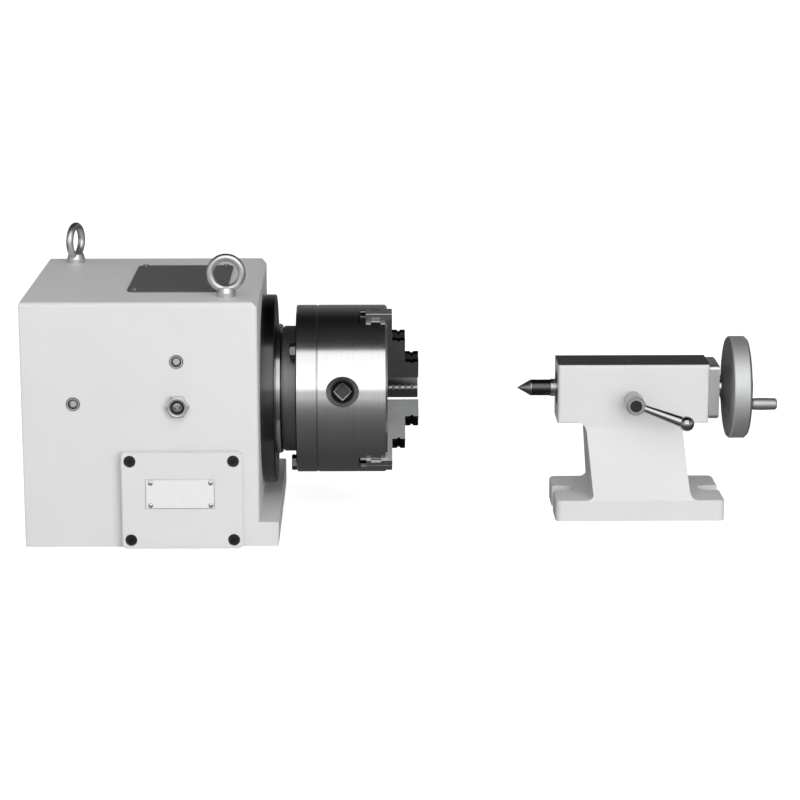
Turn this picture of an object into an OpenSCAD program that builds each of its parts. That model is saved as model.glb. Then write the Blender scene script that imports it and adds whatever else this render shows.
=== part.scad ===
// Rotary indexer: a worm-driven headstock with a three-jaw scroll chuck, and its tailstock.
// X runs along the spindle towards the tailstock, Z is up, and the operator stands at -Y.
// The origin lies on the table, under the spindle axis, at the middle of the headstock.

/* [Headstock housing] */
// Length of the housing along the spindle
head_l = 215; // [205:1:240]
// Front face, measured from the spindle axis
head_front = 131; // [126:1:150]
// Rear face, measured from the spindle axis
head_back = 111; // [105:1:140]
// Height of the housing
head_h = 228; // [222:1:260]
// Height of the spindle and tailstock axis above the table
centre_h = 120; // [118:0.5:124]
// Thickness of the housing walls
wall = 14; // [10:0.5:16]
// Rounding of the housing's front edges
edge_r = 4; // [2:0.5:8]
// Bevel between the housing's top and its spindle side
edge_bevel = 5; // [2:0.5:8]
// Length of the clamping toe on the spindle side
toe_l = 17.5; // [10:0.5:30]
// Height of the clamping toe
toe_h = 23; // [15:0.5:28]
// Width of the key slot in the underside of both bases
key_w = 14; // [10:1:18]
// Depth of the key slot
key_d = 5; // [3:0.5:7]

/* [Covers] */
// Width of the belt cover on the front
cover_w = 110; // [108:1:118]
// Height of the belt cover
cover_h = 90; // [84:1:96]
// Thickness of the belt cover
cover_t = 10; // [8.5:0.5:14]
// Distance from the housing's spindle side to the middle of the belt cover
cover_end = 70; // [68.5:0.5:71.5]
// Height of the middle of the belt cover
cover_z = 46; // [44:0.5:52]
// Distance of the cover's screws from its edges
cover_inset = 8; // [7:0.5:10]
// Width of the top plate
top_plate_w = 92; // [70:1:100]
// Depth of the top plate
top_plate_d = 142; // [120:1:160]
// Thickness of the top plate
top_plate_t = 1.2; // [1:0.1:4]
// Thickness of the rear cover
rear_cover_t = 6; // [4:0.5:10]

/* [Worm drive] */
// Module of the worm and the worm wheel
gear_m = 2; // [1.9:0.05:2.1]
// Teeth of the worm wheel
wheel_teeth = 60; // [58:2:62]
// Pitch diameter of the worm
worm_d = 30; // [28:0.5:32]
// Face width of the worm wheel
wheel_w = 24; // [18:1:28]
// Distance from the housing's spindle side to the middle of the worm wheel
wheel_end = 42.5; // [41.5:0.5:43.5]
// Distance between the motor's shaft and the worm
motor_away = 55; // [54:0.5:57]
// Side of the square motor
motor_s = 60; // [56:1:60]
// Teeth of the pulley on the worm
worm_pulley_teeth = 24; // [20:1:25]
// Teeth of the pulley on the motor
motor_pulley_teeth = 20; // [16:1:22]
// Pitch of the toothed belt
belt_pitch = 5; // [4.5:0.1:5.2]
// Width of the belt
belt_w = 15; // [10:1:16]

/* [Spindle and chuck] */
// Radius of the bore through the spindle and chuck
bore_r = 20; // [15:0.5:20]
// Radius of the bearing flange on the housing's end
flange_r = 90; // [86:1:100]
// Thickness of the bearing flange
flange_t = 13; // [11:0.5:18]
// Radius of the spindle's nose ring
nose_r = 62; // [61:0.5:70]
// Thickness of the nose ring
nose_t = 6; // [4:0.5:10]
// Radius of the adapter's boss
boss_r = 60; // [57:0.5:61]
// Length of the adapter's boss
boss_l = 13.2; // [10:0.2:25]
// Thickness of the adapter's back plate
back_plate_t = 20; // [17:0.5:26]
// Radius of the chuck
chuck_r = 80; // [79:0.5:90]
// Length of the chuck body
chuck_l = 66; // [66:0.5:80]
// Angle of the first jaw about the spindle
jaw_a = 110.25; // [0:0.25:120]
// Lead of the scroll's spiral
scroll_p = 8; // [7.6:0.1:8.4]
// Width of a jaw
jaw_w = 20; // [18:0.5:22]
// Side of the square hole for the chuck key
key_sq = 11; // [8:0.5:12]

/* [Tailstock] */
// Left end of the tailstock's barrel housing
tail_x = 388.5; // [370:0.5:500]
// Length of the barrel housing
tail_l = 144; // [130:1:200]
// Width of the barrel housing
tail_w = 49; // [46:1:60]
// Height of the barrel housing above the axis
tail_up = 27; // [24:0.5:34]
// Height of the barrel housing below the axis
tail_down = 30; // [26:0.5:34]
// Length of the tailstock's foot
foot_l = 161; // [150:1:220]
// Width of the tailstock's foot
foot_w = 98; // [90:1:120]
// Thickness of the foot
foot_t = 20; // [16:0.5:24]
// Length of the column under the barrel
column_l = 92; // [80:1:96]
// How far the column leans along the table from top to bottom
column_lean = 7; // [0:0.5:10]
// Width of the open bolt slots in the foot
foot_slot_w = 18; // [12:0.5:20]
// Length of the open bolt slots
foot_slot_l = 20; // [14:0.5:26]
// Radius of the quill
quill_r = 14; // [13:0.25:15.5]
// Travel of the quill
quill_travel = 40; // [20:1:45]
// Radius of the centre's shank
centre_r = 7.7; // [6:0.1:8]
// How far the centre stands out of the retracted quill
centre_out = 38.7; // [30:0.1:50]
// Thickness of the end plate
end_plate_t = 10; // [8:0.5:14]

/* [Handwheel and lever] */
// Radius of the handwheel
wheel_r = 49; // [44:0.5:60]
// Width of the handwheel's rim
wheel_t = 18; // [12:0.5:20]
// Distance of the handle from the handwheel's axis
handle_at = 39; // [36:0.5:41]
// Radius of the handle
handle_r = 5.5; // [4.5:0.25:7]
// Length of the handle
handle_l = 24; // [18:1:60]
// Length of the clamp lever's hub
lever_hub_l = 30; // [24:1:36]
// Length of the clamp lever from hub to ball
lever_l = 51; // [40:1:70]
// Radius of the ball on the clamp lever
lever_ball_r = 7.25; // [5.5:0.25:8]

/* [Fits] */
// Radial clearance of a shaft that turns in a bore
run_fit = 0.05; // [0.03:0.01:0.09]
// Gap between faces that move past each other
air_gap = 0.4; // [0.3:0.05:0.6]
// Radial clearance of a screw in its hole
screw_fit = 0.1; // [0.05:0.01:0.2]

/* [Hidden] */

$fn = 64;
eps = 0.01;

// Places along the spindle
head_x = head_l / 2;
nose_x0 = head_x + flange_t + air_gap;
nose_x = head_x + flange_t + nose_t;
plate_x = nose_x + boss_l;
chuck_x = plate_x + back_plate_t;
face_x = chuck_x + chuck_l;
wheel_x = head_x - wheel_end;
motor_x = wheel_x - motor_away;
cover_x = head_x - cover_end;
small_edge_r = 1.5;
toe_bevel = 1.5;

// Worm drive
wheel_pitch_r = gear_m * wheel_teeth / 2;
worm_pitch_r = worm_d / 2;
worm_lead = PI * gear_m;
worm_tip_r = worm_pitch_r + gear_m;
worm_root_r = worm_pitch_r - 1.2 * gear_m;
worm_z = centre_h - wheel_pitch_r - worm_pitch_r;
worm_thread_turns = 8;
worm_bore_r = 20;
worm_shaft_r = 8.5;
worm_bearing_w = 12;
worm_bearing_y = 44;
motor_z = worm_z;

// Belt bay in the front face
bay_y = -head_front + 25;
partition_t = wall;
motor_y = bay_y + partition_t;
motor_len = 105;
encoder_len = 24;
motor_spigot_r = 25;
motor_shaft_r = 7;
motor_bolt_at = 24.75;
belt_y = -head_front + 4;
belt_t = 2.2;
worm_pulley_r = worm_pulley_teeth * belt_pitch / (2 * PI);
motor_pulley_r = motor_pulley_teeth * belt_pitch / (2 * PI);
belt_lift = 0.3;
belt_room = 1.4;
bay_r = worm_pulley_r + belt_lift + belt_t + belt_room;
pulley_tooth_h = 1.2;

// Chambers of the housing
chamber_gap = 8;
chamber_x0 = wheel_x - wheel_w / 2 - chamber_gap + 2;
chamber_x1 = wheel_x + wheel_w / 2 + chamber_gap;
chamber_r = wheel_pitch_r + gear_m + 8;
bay_x0 = -head_x + wall;
bay_x1 = motor_x + 4;
motor_room = 0.8;
bay_z0 = min(wall, worm_z - motor_s / 2 - motor_room);

// Spindle bearings
front_bearing_w = 20;
front_bearing_r = 60;
front_seat_r = 40;
front_bearing_x = head_x - 2 - front_bearing_w;
rear_bearing_w = 16;
rear_bearing_r = 45;
rear_seat_r = 30;
rear_bearing_x = chamber_x0 - rear_bearing_w;
hub_seat_r = 35;
seal_seat_r = 50;
seal_r = 56;
nut_r = 36;
nut_w = 13;
spindle_x0 = rear_bearing_x - nut_w - 8;
tube_wall = 3;
tube_r = bore_r + tube_wall;
tube_mouth = 12;
race_t = 5;
flange_screw_at = 80;
flange_screws = 6;

// Side cap
cap_r = 46;
cap_t = 8;
cap_screw_at = 36;

// Screws: thread radius, head radius, head height
m4 = [2, 3.5, 2.4];
m5 = [2.5, 4.25, 5];
m6 = [3, 5, 6];
m8 = [4, 6.5, 8];
m8_hex = [13, 5.3];
button_h = 1.8;
button_r = 4;
m6_l = 18;
m8_l = 36;

// Front face fittings
sight_x = head_x - 73;
sight_z = centre_h + 12.4;
sight_hex = 19;
sight_face_r = 9.4;
sight_glass_r = 6.6;
sight_out = 7;
plug_places = [[head_x - 73.7, centre_h + 53.1], [-head_x + 46.9, centre_h + 14.2]];
plug_r = 6;
plug_hole_r = 6.7;
plug_hex_r = 3.7;
oil_pocket_x = [head_x - 83.5, head_x - 55.5];
oil_pocket_z = [centre_h - 8, centre_h + 66];

// Top fittings
top_plate_x = head_x - 76;
top_plate_y = (head_back - head_front) / 2 + 1;
eye_places = [[head_x - 29.1, -head_front + 31, 0], [-head_x + 28.8, head_back - 23, 73]];
eye_ring_r = 18;
eye_wire_r = 3.5;
eye_ring_z = 21.4;
eye_collar_r = 8.7;
eye_neck_r = 7.4;
eye_collar_h = 4;
eye_neck_h = 8.5;
eye_shank_l = 13;

// Rear cover
rear_open_x = [bay_x0 + 9, bay_x1 + 8];
rear_open_z = [24, head_h - 24];
rear_lip = 9;
gland_x = -head_x + 45.5;
gland_z = 70;
gland_r = 8;

// Chuck
hub_r = bore_r + 8;
scroll_r = 60;
cavity_r = scroll_r + 0.5;
spigot_r = 65;
spigot_l = 4;
back_cover_r = 63.5;
back_cover_t = 7;
pinion_s = 24;
scroll_teeth = 60;
pinion_teeth = 10;
mesh_r = 52;
mesh_w = 8;
pinion_pitch_r = mesh_r * pinion_teeth / scroll_teeth;
pinion_add = 1.4;
pinion_ded = 1.8;
pinion_shank_r = 11;
pinion_nose_r = 4;
scroll_tooth_s = pinion_s + pinion_pitch_r;
scroll_plate_s = scroll_tooth_s + pinion_ded;
scroll_face_s = 40;
thread_h = 5.5;
thread_w = 3.4;
scroll_out_r = 58;
crescent_in_r = scroll_out_r - 25;
crescent_out_r = scroll_out_r + 4;
scroll_turns = 3.25;
scroll_steps = 48;
cavity_s = scroll_face_s + thread_h + 0.5;
pinion_angles = [for (k = [0:2]) jaw_a + 60 + 120 * k];
jaw_angles = [for (k = [0:2]) jaw_a + 120 * k];
bolt_angles = [for (k = [0:2]) jaw_a + 28 + 120 * k];
chuck_bolt_at = chuck_r - 9;
adapter_screw_at = 40;
key_cone = 4.5;
key_lead_in = 1.7;

// Jaws: the radius where a step ends, and its height above the chuck's face
jaw_steps = [[82.5, 4.6], [59.4, 17], [35.5, 29.8]];
jaw_tip_r = 13;
jaw_tip_land = 1.2;
jaw_root = 20;
jaw_gap = 0.3;
guide_d = 3.5;
guide_s = [chuck_l - 15.5, chuck_l - 6];
slot_s = scroll_face_s - 1;
jaw_tooth_t = 3.4;
jaw_tooth_hw = 7;
jaw_tooth_gap = 0.6;
jaw_serrations = 5;
jaw_serration_at = 0.6;
jaw_serration_p = 5.9;
jaw_serration_w = 1.6;
jaw_groove_w = 2.6;

// Tailstock
foot_x = tail_x - 2.5;
foot_r = 6;
barrel_top_r = 3;
barrel_low_r = 2;
barrel_end_r = 3;
column_top_x = tail_x + 27;
box_z0 = centre_h - tail_down;
box_z1 = centre_h + tail_up;
tail_x1 = tail_x + tail_l;
quill_l = 112;
quill_x = tail_x + 0.5;
seal_out_r = quill_r + 2.2;
seal_w = 4;
taper_l = 60;
taper_r = [8.2, 6.6];
screw_r = 7;
screw_l = 60;
screw_collar_r = 12;
screw_collar_t = 6;
shaft_r = 8;
wheel_x0 = tail_x1 + end_plate_t + 10.2;
wheel_boss_l = 6;
dish_r = [16, 32];
dish_d = 5;
handle_z = -8.3;
handle_y = -sqrt(handle_at * handle_at - handle_z * handle_z);
handle_pin_r = 3;
lever_x = tail_x + 71.4;
lever_z = 113.3;
lever_r = 9;
lever_cap_r = 5.6;
lever_drop = 18;
lever_rise = 13;
stud_r = 6;
end_screw_at = [17, 20];
quill_key_x = tail_x + 46;
quill_key_r = 2.4;
key_half = quill_key_r + run_fit;
keyway_d = 3;
oiler_x = tail_x + 68.6;
oiler_y = -4;

// Shapes used by several parts
module block(x, y, z) {
    translate([x[0], y[0], z[0]]) cube([x[1] - x[0], y[1] - y[0], z[1] - z[0]]);
}

module rod_x(r, x, y = 0, z = centre_h) {
    translate([x[0], y, z]) rotate([0, 90, 0]) cylinder(r = r, h = x[1] - x[0]);
}

module rod_y(r, y, x, z) {
    translate([x, y[0], z]) rotate([-90, 0, 0]) cylinder(r = r, h = y[1] - y[0]);
}

// A turned part on the spindle axis, from points of radius and place along X
module turned(points, z = centre_h) {
    translate([0, 0, z]) rotate([0, 90, 0]) rotate_extrude() polygon(points);
}

// A turned part whose axis runs along Y
module turned_y(points, x, z) {
    translate([x, 0, z]) rotate([-90, 0, 0]) rotate_extrude() polygon(points);
}

// A rectangle about the origin, with round corners
module round_rect(w, h, r) {
    square([w - 2 * r, h], center = true);
    square([w, h - 2 * r], center = true);
    for (sx = [-1, 1], sy = [-1, 1])
        translate([sx * (w / 2 - r), sy * (h / 2 - r)]) circle(r);
}

// Everything at an angle about the spindle axis, built along +Y at the axis
module about_spindle(a) {
    translate([0, 0, centre_h]) rotate([a, 0, 0]) children();
}

// A socket cap screw along +Z, with its head on top and its seat at the origin
module cap_screw(size, length) {
    translate([0, 0, -length]) cylinder(r = size[0], h = length + eps);
    difference() {
        union() {
            cylinder(r = size[1], h = size[2] - 0.5);
            translate([0, 0, size[2] - 0.5]) cylinder(r1 = size[1], r2 = size[1] - 0.5, h = 0.5);
        }
        translate([0, 0, size[2] * 0.45]) cylinder(r = size[0] * 0.95, h = size[2], $fn = 6);
    }
}

// The hole for a cap screw: clearance, counterbore and thread
module screw_hole(size, length) {
    translate([0, 0, -length - 1]) cylinder(r = size[0] + screw_fit, h = length + 1 + eps);
    cylinder(r = size[1] + 0.5, h = size[2] + 20);
}

// A low button-head screw along +Z, with its seat at the origin
module button_screw(size, length) {
    translate([0, 0, -length]) cylinder(r = size[0], h = length + eps);
    difference() {
        cylinder(r1 = button_r, r2 = button_r - 1.6, h = button_h);
        translate([0, 0, button_h / 2]) cylinder(r = size[0] * 0.7, h = size[2], $fn = 6);
    }
}

// A hexagon bolt along +Z, with its head on top and its seat at the origin
module hex_bolt(size, hex, length) {
    corner = hex[0] / 2 / cos(30);
    translate([0, 0, -length]) cylinder(r = size[0], h = length + eps);
    rotate(30) intersection() {
        cylinder(r = corner, h = hex[1], $fn = 6);
        cylinder(r1 = corner + hex[1] * 1.6, r2 = hex[0] / 2 - 0.3, h = hex[1] + 0.2);
    }
}

// A concave fillet in the corner at the origin, towards +X and +Y, sunk a little into both sides
module fillet(r) {
    difference() {
        translate([-1, -1]) square(r + 1);
        translate([r, r]) circle(r);
    }
}

// Places of the screws
module at_cover_screws(y) {
    for (sx = [-1, 1], sz = [-1, 1])
        translate([cover_x + sx * (cover_w / 2 - cover_inset), y,
            cover_z + sz * (cover_h / 2 - cover_inset)]) rotate([90, 0, 0]) children();
}

module at_flange_screws(x) {
    for (k = [0:flange_screws - 1])
        about_spindle(30 + k * 360 / flange_screws)
            translate([x, flange_screw_at, 0]) rotate([0, 90, 0]) children();
}

module at_top_screws() {
    for (sx = [-1, 1], sy = [-1, 1])
        translate([top_plate_x + sx * (top_plate_w / 2 - 7),
            top_plate_y + sy * (top_plate_d / 2 - 7), head_h + top_plate_t]) children();
}

module at_rear_screws() {
    for (x = [rear_open_x[0] - rear_lip / 2, rear_open_x[1] + rear_lip / 2],
         z = [rear_open_z[0] - rear_lip / 2, (rear_open_z[0] + rear_open_z[1]) / 2,
              rear_open_z[1] + rear_lip / 2])
        translate([x, head_back + rear_cover_t, z]) rotate([-90, 0, 0]) children();
}

module at_side_screws() {
    for (k = [0:3])
        about_spindle(45 + 90 * k)
            translate([-head_x, cap_screw_at, 0]) rotate([0, -90, 0]) children();
}

module at_chuck_bolts() {
    for (a = bolt_angles)
        about_spindle(a) translate([plate_x, chuck_bolt_at, 0]) rotate([0, -90, 0]) children();
}

module at_adapter_screws() {
    for (k = [0:5])
        about_spindle(jaw_a + 60 * k)
            translate([nose_x + 23.5, adapter_screw_at, 0]) rotate([0, 90, 0]) children();
}

// Housing

module housing_outline() {
    depth = head_front + head_back;
    intersection() {
        // seen along the spindle
        translate([-head_x, 0, 0]) rotate([90, 0, 90]) linear_extrude(head_l) difference() {
            translate([-head_front, 0]) square([depth, head_h]);
            translate([-head_front, head_h]) rotate(-90) fillet(edge_r);
            translate([head_back, head_h]) rotate(180) fillet(small_edge_r);
        }
        // seen from the front
        translate([0, head_back + eps, 0]) rotate([90, 0, 0]) linear_extrude(depth + 2 * eps)
            polygon([[-head_x, 0], [head_x, 0], [head_x, head_h - edge_bevel],
                [head_x - edge_bevel, head_h], [-head_x + small_edge_r, head_h],
                [-head_x, head_h - small_edge_r]]);
        // seen from above
        linear_extrude(head_h) difference() {
            translate([-head_x, -head_front]) square([head_l, depth]);
            translate([-head_x, -head_front]) fillet(small_edge_r);
            translate([head_x, -head_front]) rotate(90) fillet(edge_r);
            translate([head_x, head_back]) rotate(180) fillet(edge_r);
            translate([-head_x, head_back]) rotate(-90) fillet(small_edge_r);
        }
    }
    // clamping toe
    x1 = head_x + toe_l;
    linear_extrude(toe_h) polygon([[head_x - edge_bevel, -head_front],
        [x1 - toe_bevel, -head_front], [x1, -head_front + toe_bevel],
        [x1, head_back - toe_bevel], [x1 - toe_bevel, head_back], [head_x - edge_bevel, head_back]]);
}

// The slot behind the belt cover, a long round-ended pocket
module belt_bay(y0, y1, r) {
    for (x = [motor_x, wheel_x]) rod_y(r, [y0, y1], x, worm_z);
    block([motor_x, wheel_x], [y0, y1], [worm_z - r, worm_z + r]);
}

module housing() {
    color("gainsboro") difference() {
        housing_outline();
        // motor bay with its recess and its opening at the rear
        block([bay_x0, bay_x1], [motor_y, head_back - wall], [bay_z0, head_h - wall]);
        block([bay_x0, bay_x1], [-head_front + wall, motor_y + eps],
            [worm_z + bay_r + wall, head_h - wall]);
        block([bay_x1 - eps, motor_x + motor_s / 2 + motor_room], [motor_y, head_back - wall],
            [worm_z - motor_s / 2 - 1, worm_z + motor_s / 2 + 4]);
        block([rear_open_x[0], rear_open_x[1] - 8], [head_back - wall - eps, head_back + 1],
            rear_open_z);
        // belt bay and the motor's spigot and shaft
        belt_bay(-head_front - 1, bay_y, bay_r);
        rod_y(motor_spigot_r + screw_fit, [motor_y - 4, motor_y + eps], motor_x, motor_z);
        rod_y(motor_shaft_r + 5, [bay_y - eps, motor_y], motor_x, motor_z);
        for (sx = [-1, 1], sz = [-1, 1])
            rod_y(m5[0] + screw_fit, [motor_y - 11, motor_y + eps],
                motor_x + sx * motor_bolt_at, motor_z + sz * motor_bolt_at);
        // worm bore, from the belt bay through to the rear face
        rod_y(worm_bore_r, [bay_y - eps, head_back + 1], wheel_x, worm_z);
        // gear chamber, oil pocket and bearing seats
        rod_x(chamber_r, [chamber_x0, chamber_x1]);
        block([oil_pocket_x[0], oil_pocket_x[1]], [-head_front + 12, -50], oil_pocket_z);
        rod_x(rear_bearing_r, [rear_bearing_x, chamber_x0 + eps]);
        rod_x(nut_r + 2, [bay_x1 - eps, rear_bearing_x + eps]);
        rod_x(front_bearing_r, [front_bearing_x, head_x + 1]);
        rod_x(front_bearing_r - 6, [chamber_x1 - eps, front_bearing_x + eps]);
        // left end: seat of the side cap, and the tube's way through
        rod_x(cap_r + screw_fit, [-head_x - 1, -head_x + cap_t]);
        rod_x(tube_r + 2, [-head_x + cap_t - eps, bay_x0 + eps]);
        // threads for the screws
        at_cover_screws(-head_front) screw_hole(m6, m6_l - cover_t + m6[2]);
        at_flange_screws(head_x) translate([0, 0, 1]) screw_hole(m6, m6_l - flange_t + m6[2] + 2);
        at_top_screws() screw_hole(m4, 10);
        at_rear_screws() screw_hole(m4, 13);
        at_side_screws() translate([0, 0, -cap_t]) screw_hole(m4, 5);
        // sight glass, plugs and eye bolts
        rod_y(6.5, [-head_front - 1, -head_front + 13], sight_x, sight_z);
        for (p = plug_places) {
            rod_y(plug_r + screw_fit, [-head_front - 1, -head_front + 15], p[0], p[1]);
            rod_y(plug_hole_r, [-head_front - 1, -head_front + 1.5], p[0], p[1]);
        }
        for (p = eye_places)
            translate([p[0], p[1], head_h - eye_shank_l - 1]) cylinder(r = 4 + screw_fit, h = 20);
        // key slot along the underside, at both ends
        block([-head_x - 1, -head_x + 40], [-key_w / 2, key_w / 2], [-1, key_d]);
        block([head_x - 40, head_x + toe_l + 1], [-key_w / 2, key_w / 2], [-1, key_d]);
    }
}

module front_cover() {
    color("gainsboro") difference() {
        translate([cover_x, -head_front, cover_z]) rotate([90, 0, 0]) {
            linear_extrude(cover_t - 0.8) round_rect(cover_w, cover_h, 3);
            linear_extrude(cover_t) round_rect(cover_w - 1.6, cover_h - 1.6, 2.2);
        }
        at_cover_screws(-head_front - cover_t + m6[2]) screw_hole(m6, m6_l);
    }
}

module cap_screws_m6() {
    color("#202224") {
        at_cover_screws(-head_front - cover_t + m6[2]) cap_screw(m6, m6_l);
        at_flange_screws(head_x + flange_t - m6[2] - 0.5) cap_screw(m6, m6_l);
    }
}

module top_plate() {
    color("#474747") difference() {
        translate([top_plate_x, top_plate_y, head_h])
            linear_extrude(top_plate_t) round_rect(top_plate_w, top_plate_d, 8);
        at_top_screws() translate([0, 0, -10]) cylinder(r = m4[0] + screw_fit, h = 20);
    }
}

module cover_screws_m4() {
    color("silver") {
        at_top_screws() button_screw(m4, 8);
        at_rear_screws() cap_screw(m4, 12);
        at_side_screws() translate([0, 0, -3]) cap_screw(m4, 9);
    }
}

module rear_cover() {
    x0 = rear_open_x[0] - rear_lip;
    x1 = rear_open_x[1] + rear_lip;
    z0 = rear_open_z[0] - rear_lip;
    z1 = rear_open_z[1] + rear_lip;
    color("gainsboro") difference() {
        translate([(x0 + x1) / 2, head_back, (z0 + z1) / 2]) rotate([-90, 0, 0])
            linear_extrude(rear_cover_t) round_rect(x1 - x0, z1 - z0, 5);
        at_rear_screws() translate([0, 0, -10]) cylinder(r = m4[0] + screw_fit, h = 20);
        rod_y(gland_r + screw_fit, [head_back - 1, head_back + rear_cover_t + 1], gland_x, gland_z);
    }
}

module side_cap() {
    color("#8f9296") difference() {
        rod_x(cap_r, [-head_x, -head_x + cap_t]);
        rod_x(tube_r + screw_fit, [-head_x - 1, -head_x + cap_t + 1]);
        at_side_screws() translate([0, 0, -3]) screw_hole(m4, 12);
    }
}

module through_tube() {
    x1 = spindle_x0 + tube_mouth - 1;
    color("#b5b8ba") turned([[bore_r, -head_x], [tube_r, -head_x], [tube_r, x1], [bore_r, x1]]);
}

module bearing_flange() {
    color("#2b2d30") difference() {
        union() {
            turned([[seal_seat_r + 0.5, head_x], [flange_r, head_x],
                [flange_r, head_x + flange_t - 1], [flange_r - 1, head_x + flange_t],
                [seal_seat_r + 0.5, head_x + flange_t]]);
            // spigot that clamps the outer race
            turned([[front_bearing_r - race_t, head_x - 2], [front_bearing_r - 0.05, head_x - 2],
                [front_bearing_r - 0.05, head_x + eps], [front_bearing_r - race_t, head_x + eps]]);
        }
        rod_x(seal_r, [head_x - 1, head_x + 9]);
        at_flange_screws(head_x + flange_t - m6[2] - 0.5) screw_hole(m6, m6_l);
    }
}

module oil_seal() {
    color("#1b1b1b") turned([[seal_seat_r + run_fit, head_x + 1], [seal_r, head_x + 1],
        [seal_r, head_x + 9], [seal_seat_r + run_fit, head_x + 9],
        [seal_seat_r + run_fit, head_x + 7], [seal_seat_r + 2, head_x + 6],
        [seal_seat_r + 2, head_x + 4], [seal_seat_r + run_fit, head_x + 3]]);
}

// Roller bearing races; the rollers ride with the inner race
module outer_race(r, w, x) {
    turned([[r - race_t, x], [r, x], [r, x + w], [r - race_t, x + w]]);
}

module inner_race(r_in, r_out, w, x, rollers) {
    roller_r = (r_out - race_t - r_in - race_t - 2 * air_gap / 2) / 2;
    turned([[r_in, x], [r_in + race_t, x], [r_in + race_t, x + w], [r_in, x + w]]);
    for (k = [0:rollers - 1])
        about_spindle(k * 360 / rollers)
            translate([x + 2, r_in + race_t + roller_r - eps, 0]) rotate([0, 90, 0])
                cylinder(r = roller_r, h = w - 4);
}

module front_bearing_outer() {
    color("#c0c4c8") outer_race(front_bearing_r, front_bearing_w, front_bearing_x);
}

module rear_bearing_outer() {
    color("#c0c4c8") outer_race(rear_bearing_r, rear_bearing_w, rear_bearing_x);
}

module front_bearing_inner() {
    color("#d0d4d8")
        inner_race(front_seat_r, front_bearing_r, front_bearing_w, front_bearing_x, 18);
}

module rear_bearing_inner() {
    color("#d0d4d8") inner_race(rear_seat_r, rear_bearing_r, rear_bearing_w, rear_bearing_x, 16);
}

module sight_glass() {
    y = -head_front;
    corner = sight_hex / 2 / cos(30);
    color("#d8dadb") difference() {
        union() {
            rod_y(sight_glass_r - 0.2, [y - 1, y + 10], sight_x, sight_z);
            translate([sight_x, y, sight_z]) rotate([90, 0, 0]) intersection() {
                cylinder(r = corner, h = sight_out, $fn = 6);
                cylinder(r1 = sight_face_r + 8, r2 = sight_face_r, h = sight_out);
            }
        }
        rod_y(sight_glass_r, [y - sight_out - 1, y - sight_out + 2], sight_x, sight_z);
        rod_y(4.5, [y - sight_out, y + 11], sight_x, sight_z);
    }
}

module sight_lens() {
    y = -head_front - sight_out;
    color("#9aa0a4") rod_y(sight_glass_r - screw_fit, [y + 0.6, y + 2], sight_x, sight_z);
}

module filler_plugs() {
    y = -head_front + 0.3;
    color("#a8acaf") for (p = plug_places) difference() {
        turned_y([[0, y + 1], [plug_hex_r, y + 1], [plug_hex_r + 1, y], [plug_r - 0.5, y],
            [plug_r, y + 0.5], [plug_r, y + 12], [0, y + 12]], p[0], p[1]);
        translate([p[0], y + 5, p[1]]) rotate([90, 0, 0])
            cylinder(r = plug_hex_r, h = 8, $fn = 6);
    }
}

module eye_bolts() {
    color("#d5d7d8") for (p = eye_places)
        translate([p[0], p[1], head_h]) rotate([0, 0, p[2]]) {
            translate([0, 0, -eye_shank_l]) cylinder(r = 4, h = eye_shank_l + 1);
            cylinder(r = eye_collar_r, h = eye_collar_h);
            translate([0, 0, eye_collar_h - eps])
                cylinder(r1 = eye_collar_r, r2 = eye_neck_r, h = eye_neck_h - eye_collar_h);
            translate([0, 0, eye_ring_z]) rotate([90, 0, 0])
                rotate_extrude() translate([eye_ring_r - eye_wire_r, 0]) circle(eye_wire_r);
        }
}

module motor_body() {
    s = motor_s / 2;
    color("#26282b") difference() {
        union() {
            // flange, finned case and encoder cap
            translate([motor_x, motor_y, motor_z]) rotate([-90, 0, 0]) {
                linear_extrude(8) round_rect(motor_s, motor_s, 4);
                linear_extrude(motor_len) intersection() {
                    round_rect(motor_s - 2, motor_s - 2, 6);
                    rotate(45) square(motor_s * 1.22, center = true);
                }
                translate([0, 0, motor_len - eps])
                    linear_extrude(encoder_len) round_rect(motor_s - 8, motor_s - 8, 5);
            }
            rod_y(motor_spigot_r, [motor_y - 3, motor_y + 1], motor_x, motor_z);
            // plug socket on top of the case
            block([motor_x - 10, motor_x + 8], [motor_y + motor_len - 24, motor_y + motor_len - 2],
                [motor_z + s - 2, motor_z + s + 3]);
        }
        rod_y(motor_shaft_r + run_fit, [motor_y - 4, motor_y + 60], motor_x, motor_z);
        for (sx = [-1, 1], sz = [-1, 1])
            rod_y(m5[0] + screw_fit, [motor_y - 1, motor_y + 9],
                motor_x + sx * motor_bolt_at, motor_z + sz * motor_bolt_at);
        for (sx = [-1, 1], sz = [-1, 1])
            rod_y(m5[1] + 0.4, [motor_y + 8 - eps, motor_y + 16],
                motor_x + sx * motor_bolt_at, motor_z + sz * motor_bolt_at);
    }
}

module motor_screws() {
    color("#3a3c3e") for (sx = [-1, 1], sz = [-1, 1])
        translate([motor_x + sx * motor_bolt_at, motor_y + 8, motor_z + sz * motor_bolt_at])
            rotate([-90, 0, 0]) cap_screw(m5, 18);
}

module motor_shaft() {
    color("#c4c8cb") rod_y(motor_shaft_r, [-head_front + 2, motor_y + 58], motor_x, motor_z);
}

// A toothed pulley on a Y axis: gear profile between two flanges
module pulley(r, teeth, shaft, x, z) {
    y0 = belt_y;
    y1 = belt_y + belt_w + 1;
    difference() {
        union() {
            translate([x, y0, z]) rotate([-90, 0, 0]) linear_extrude(belt_w + 1) difference() {
                circle(r);
                for (k = [0:teeth - 1])
                    rotate(k * 360 / teeth) translate([r, 0])
                        square([2 * pulley_tooth_h, belt_pitch * 0.45], center = true);
            }
            rod_y(shaft + 4, [y1 - eps, y1 + 3.5], x, z);
        }
        rod_y(shaft, [y0 - 1, y1 + 10], x, z);
    }
}

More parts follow.
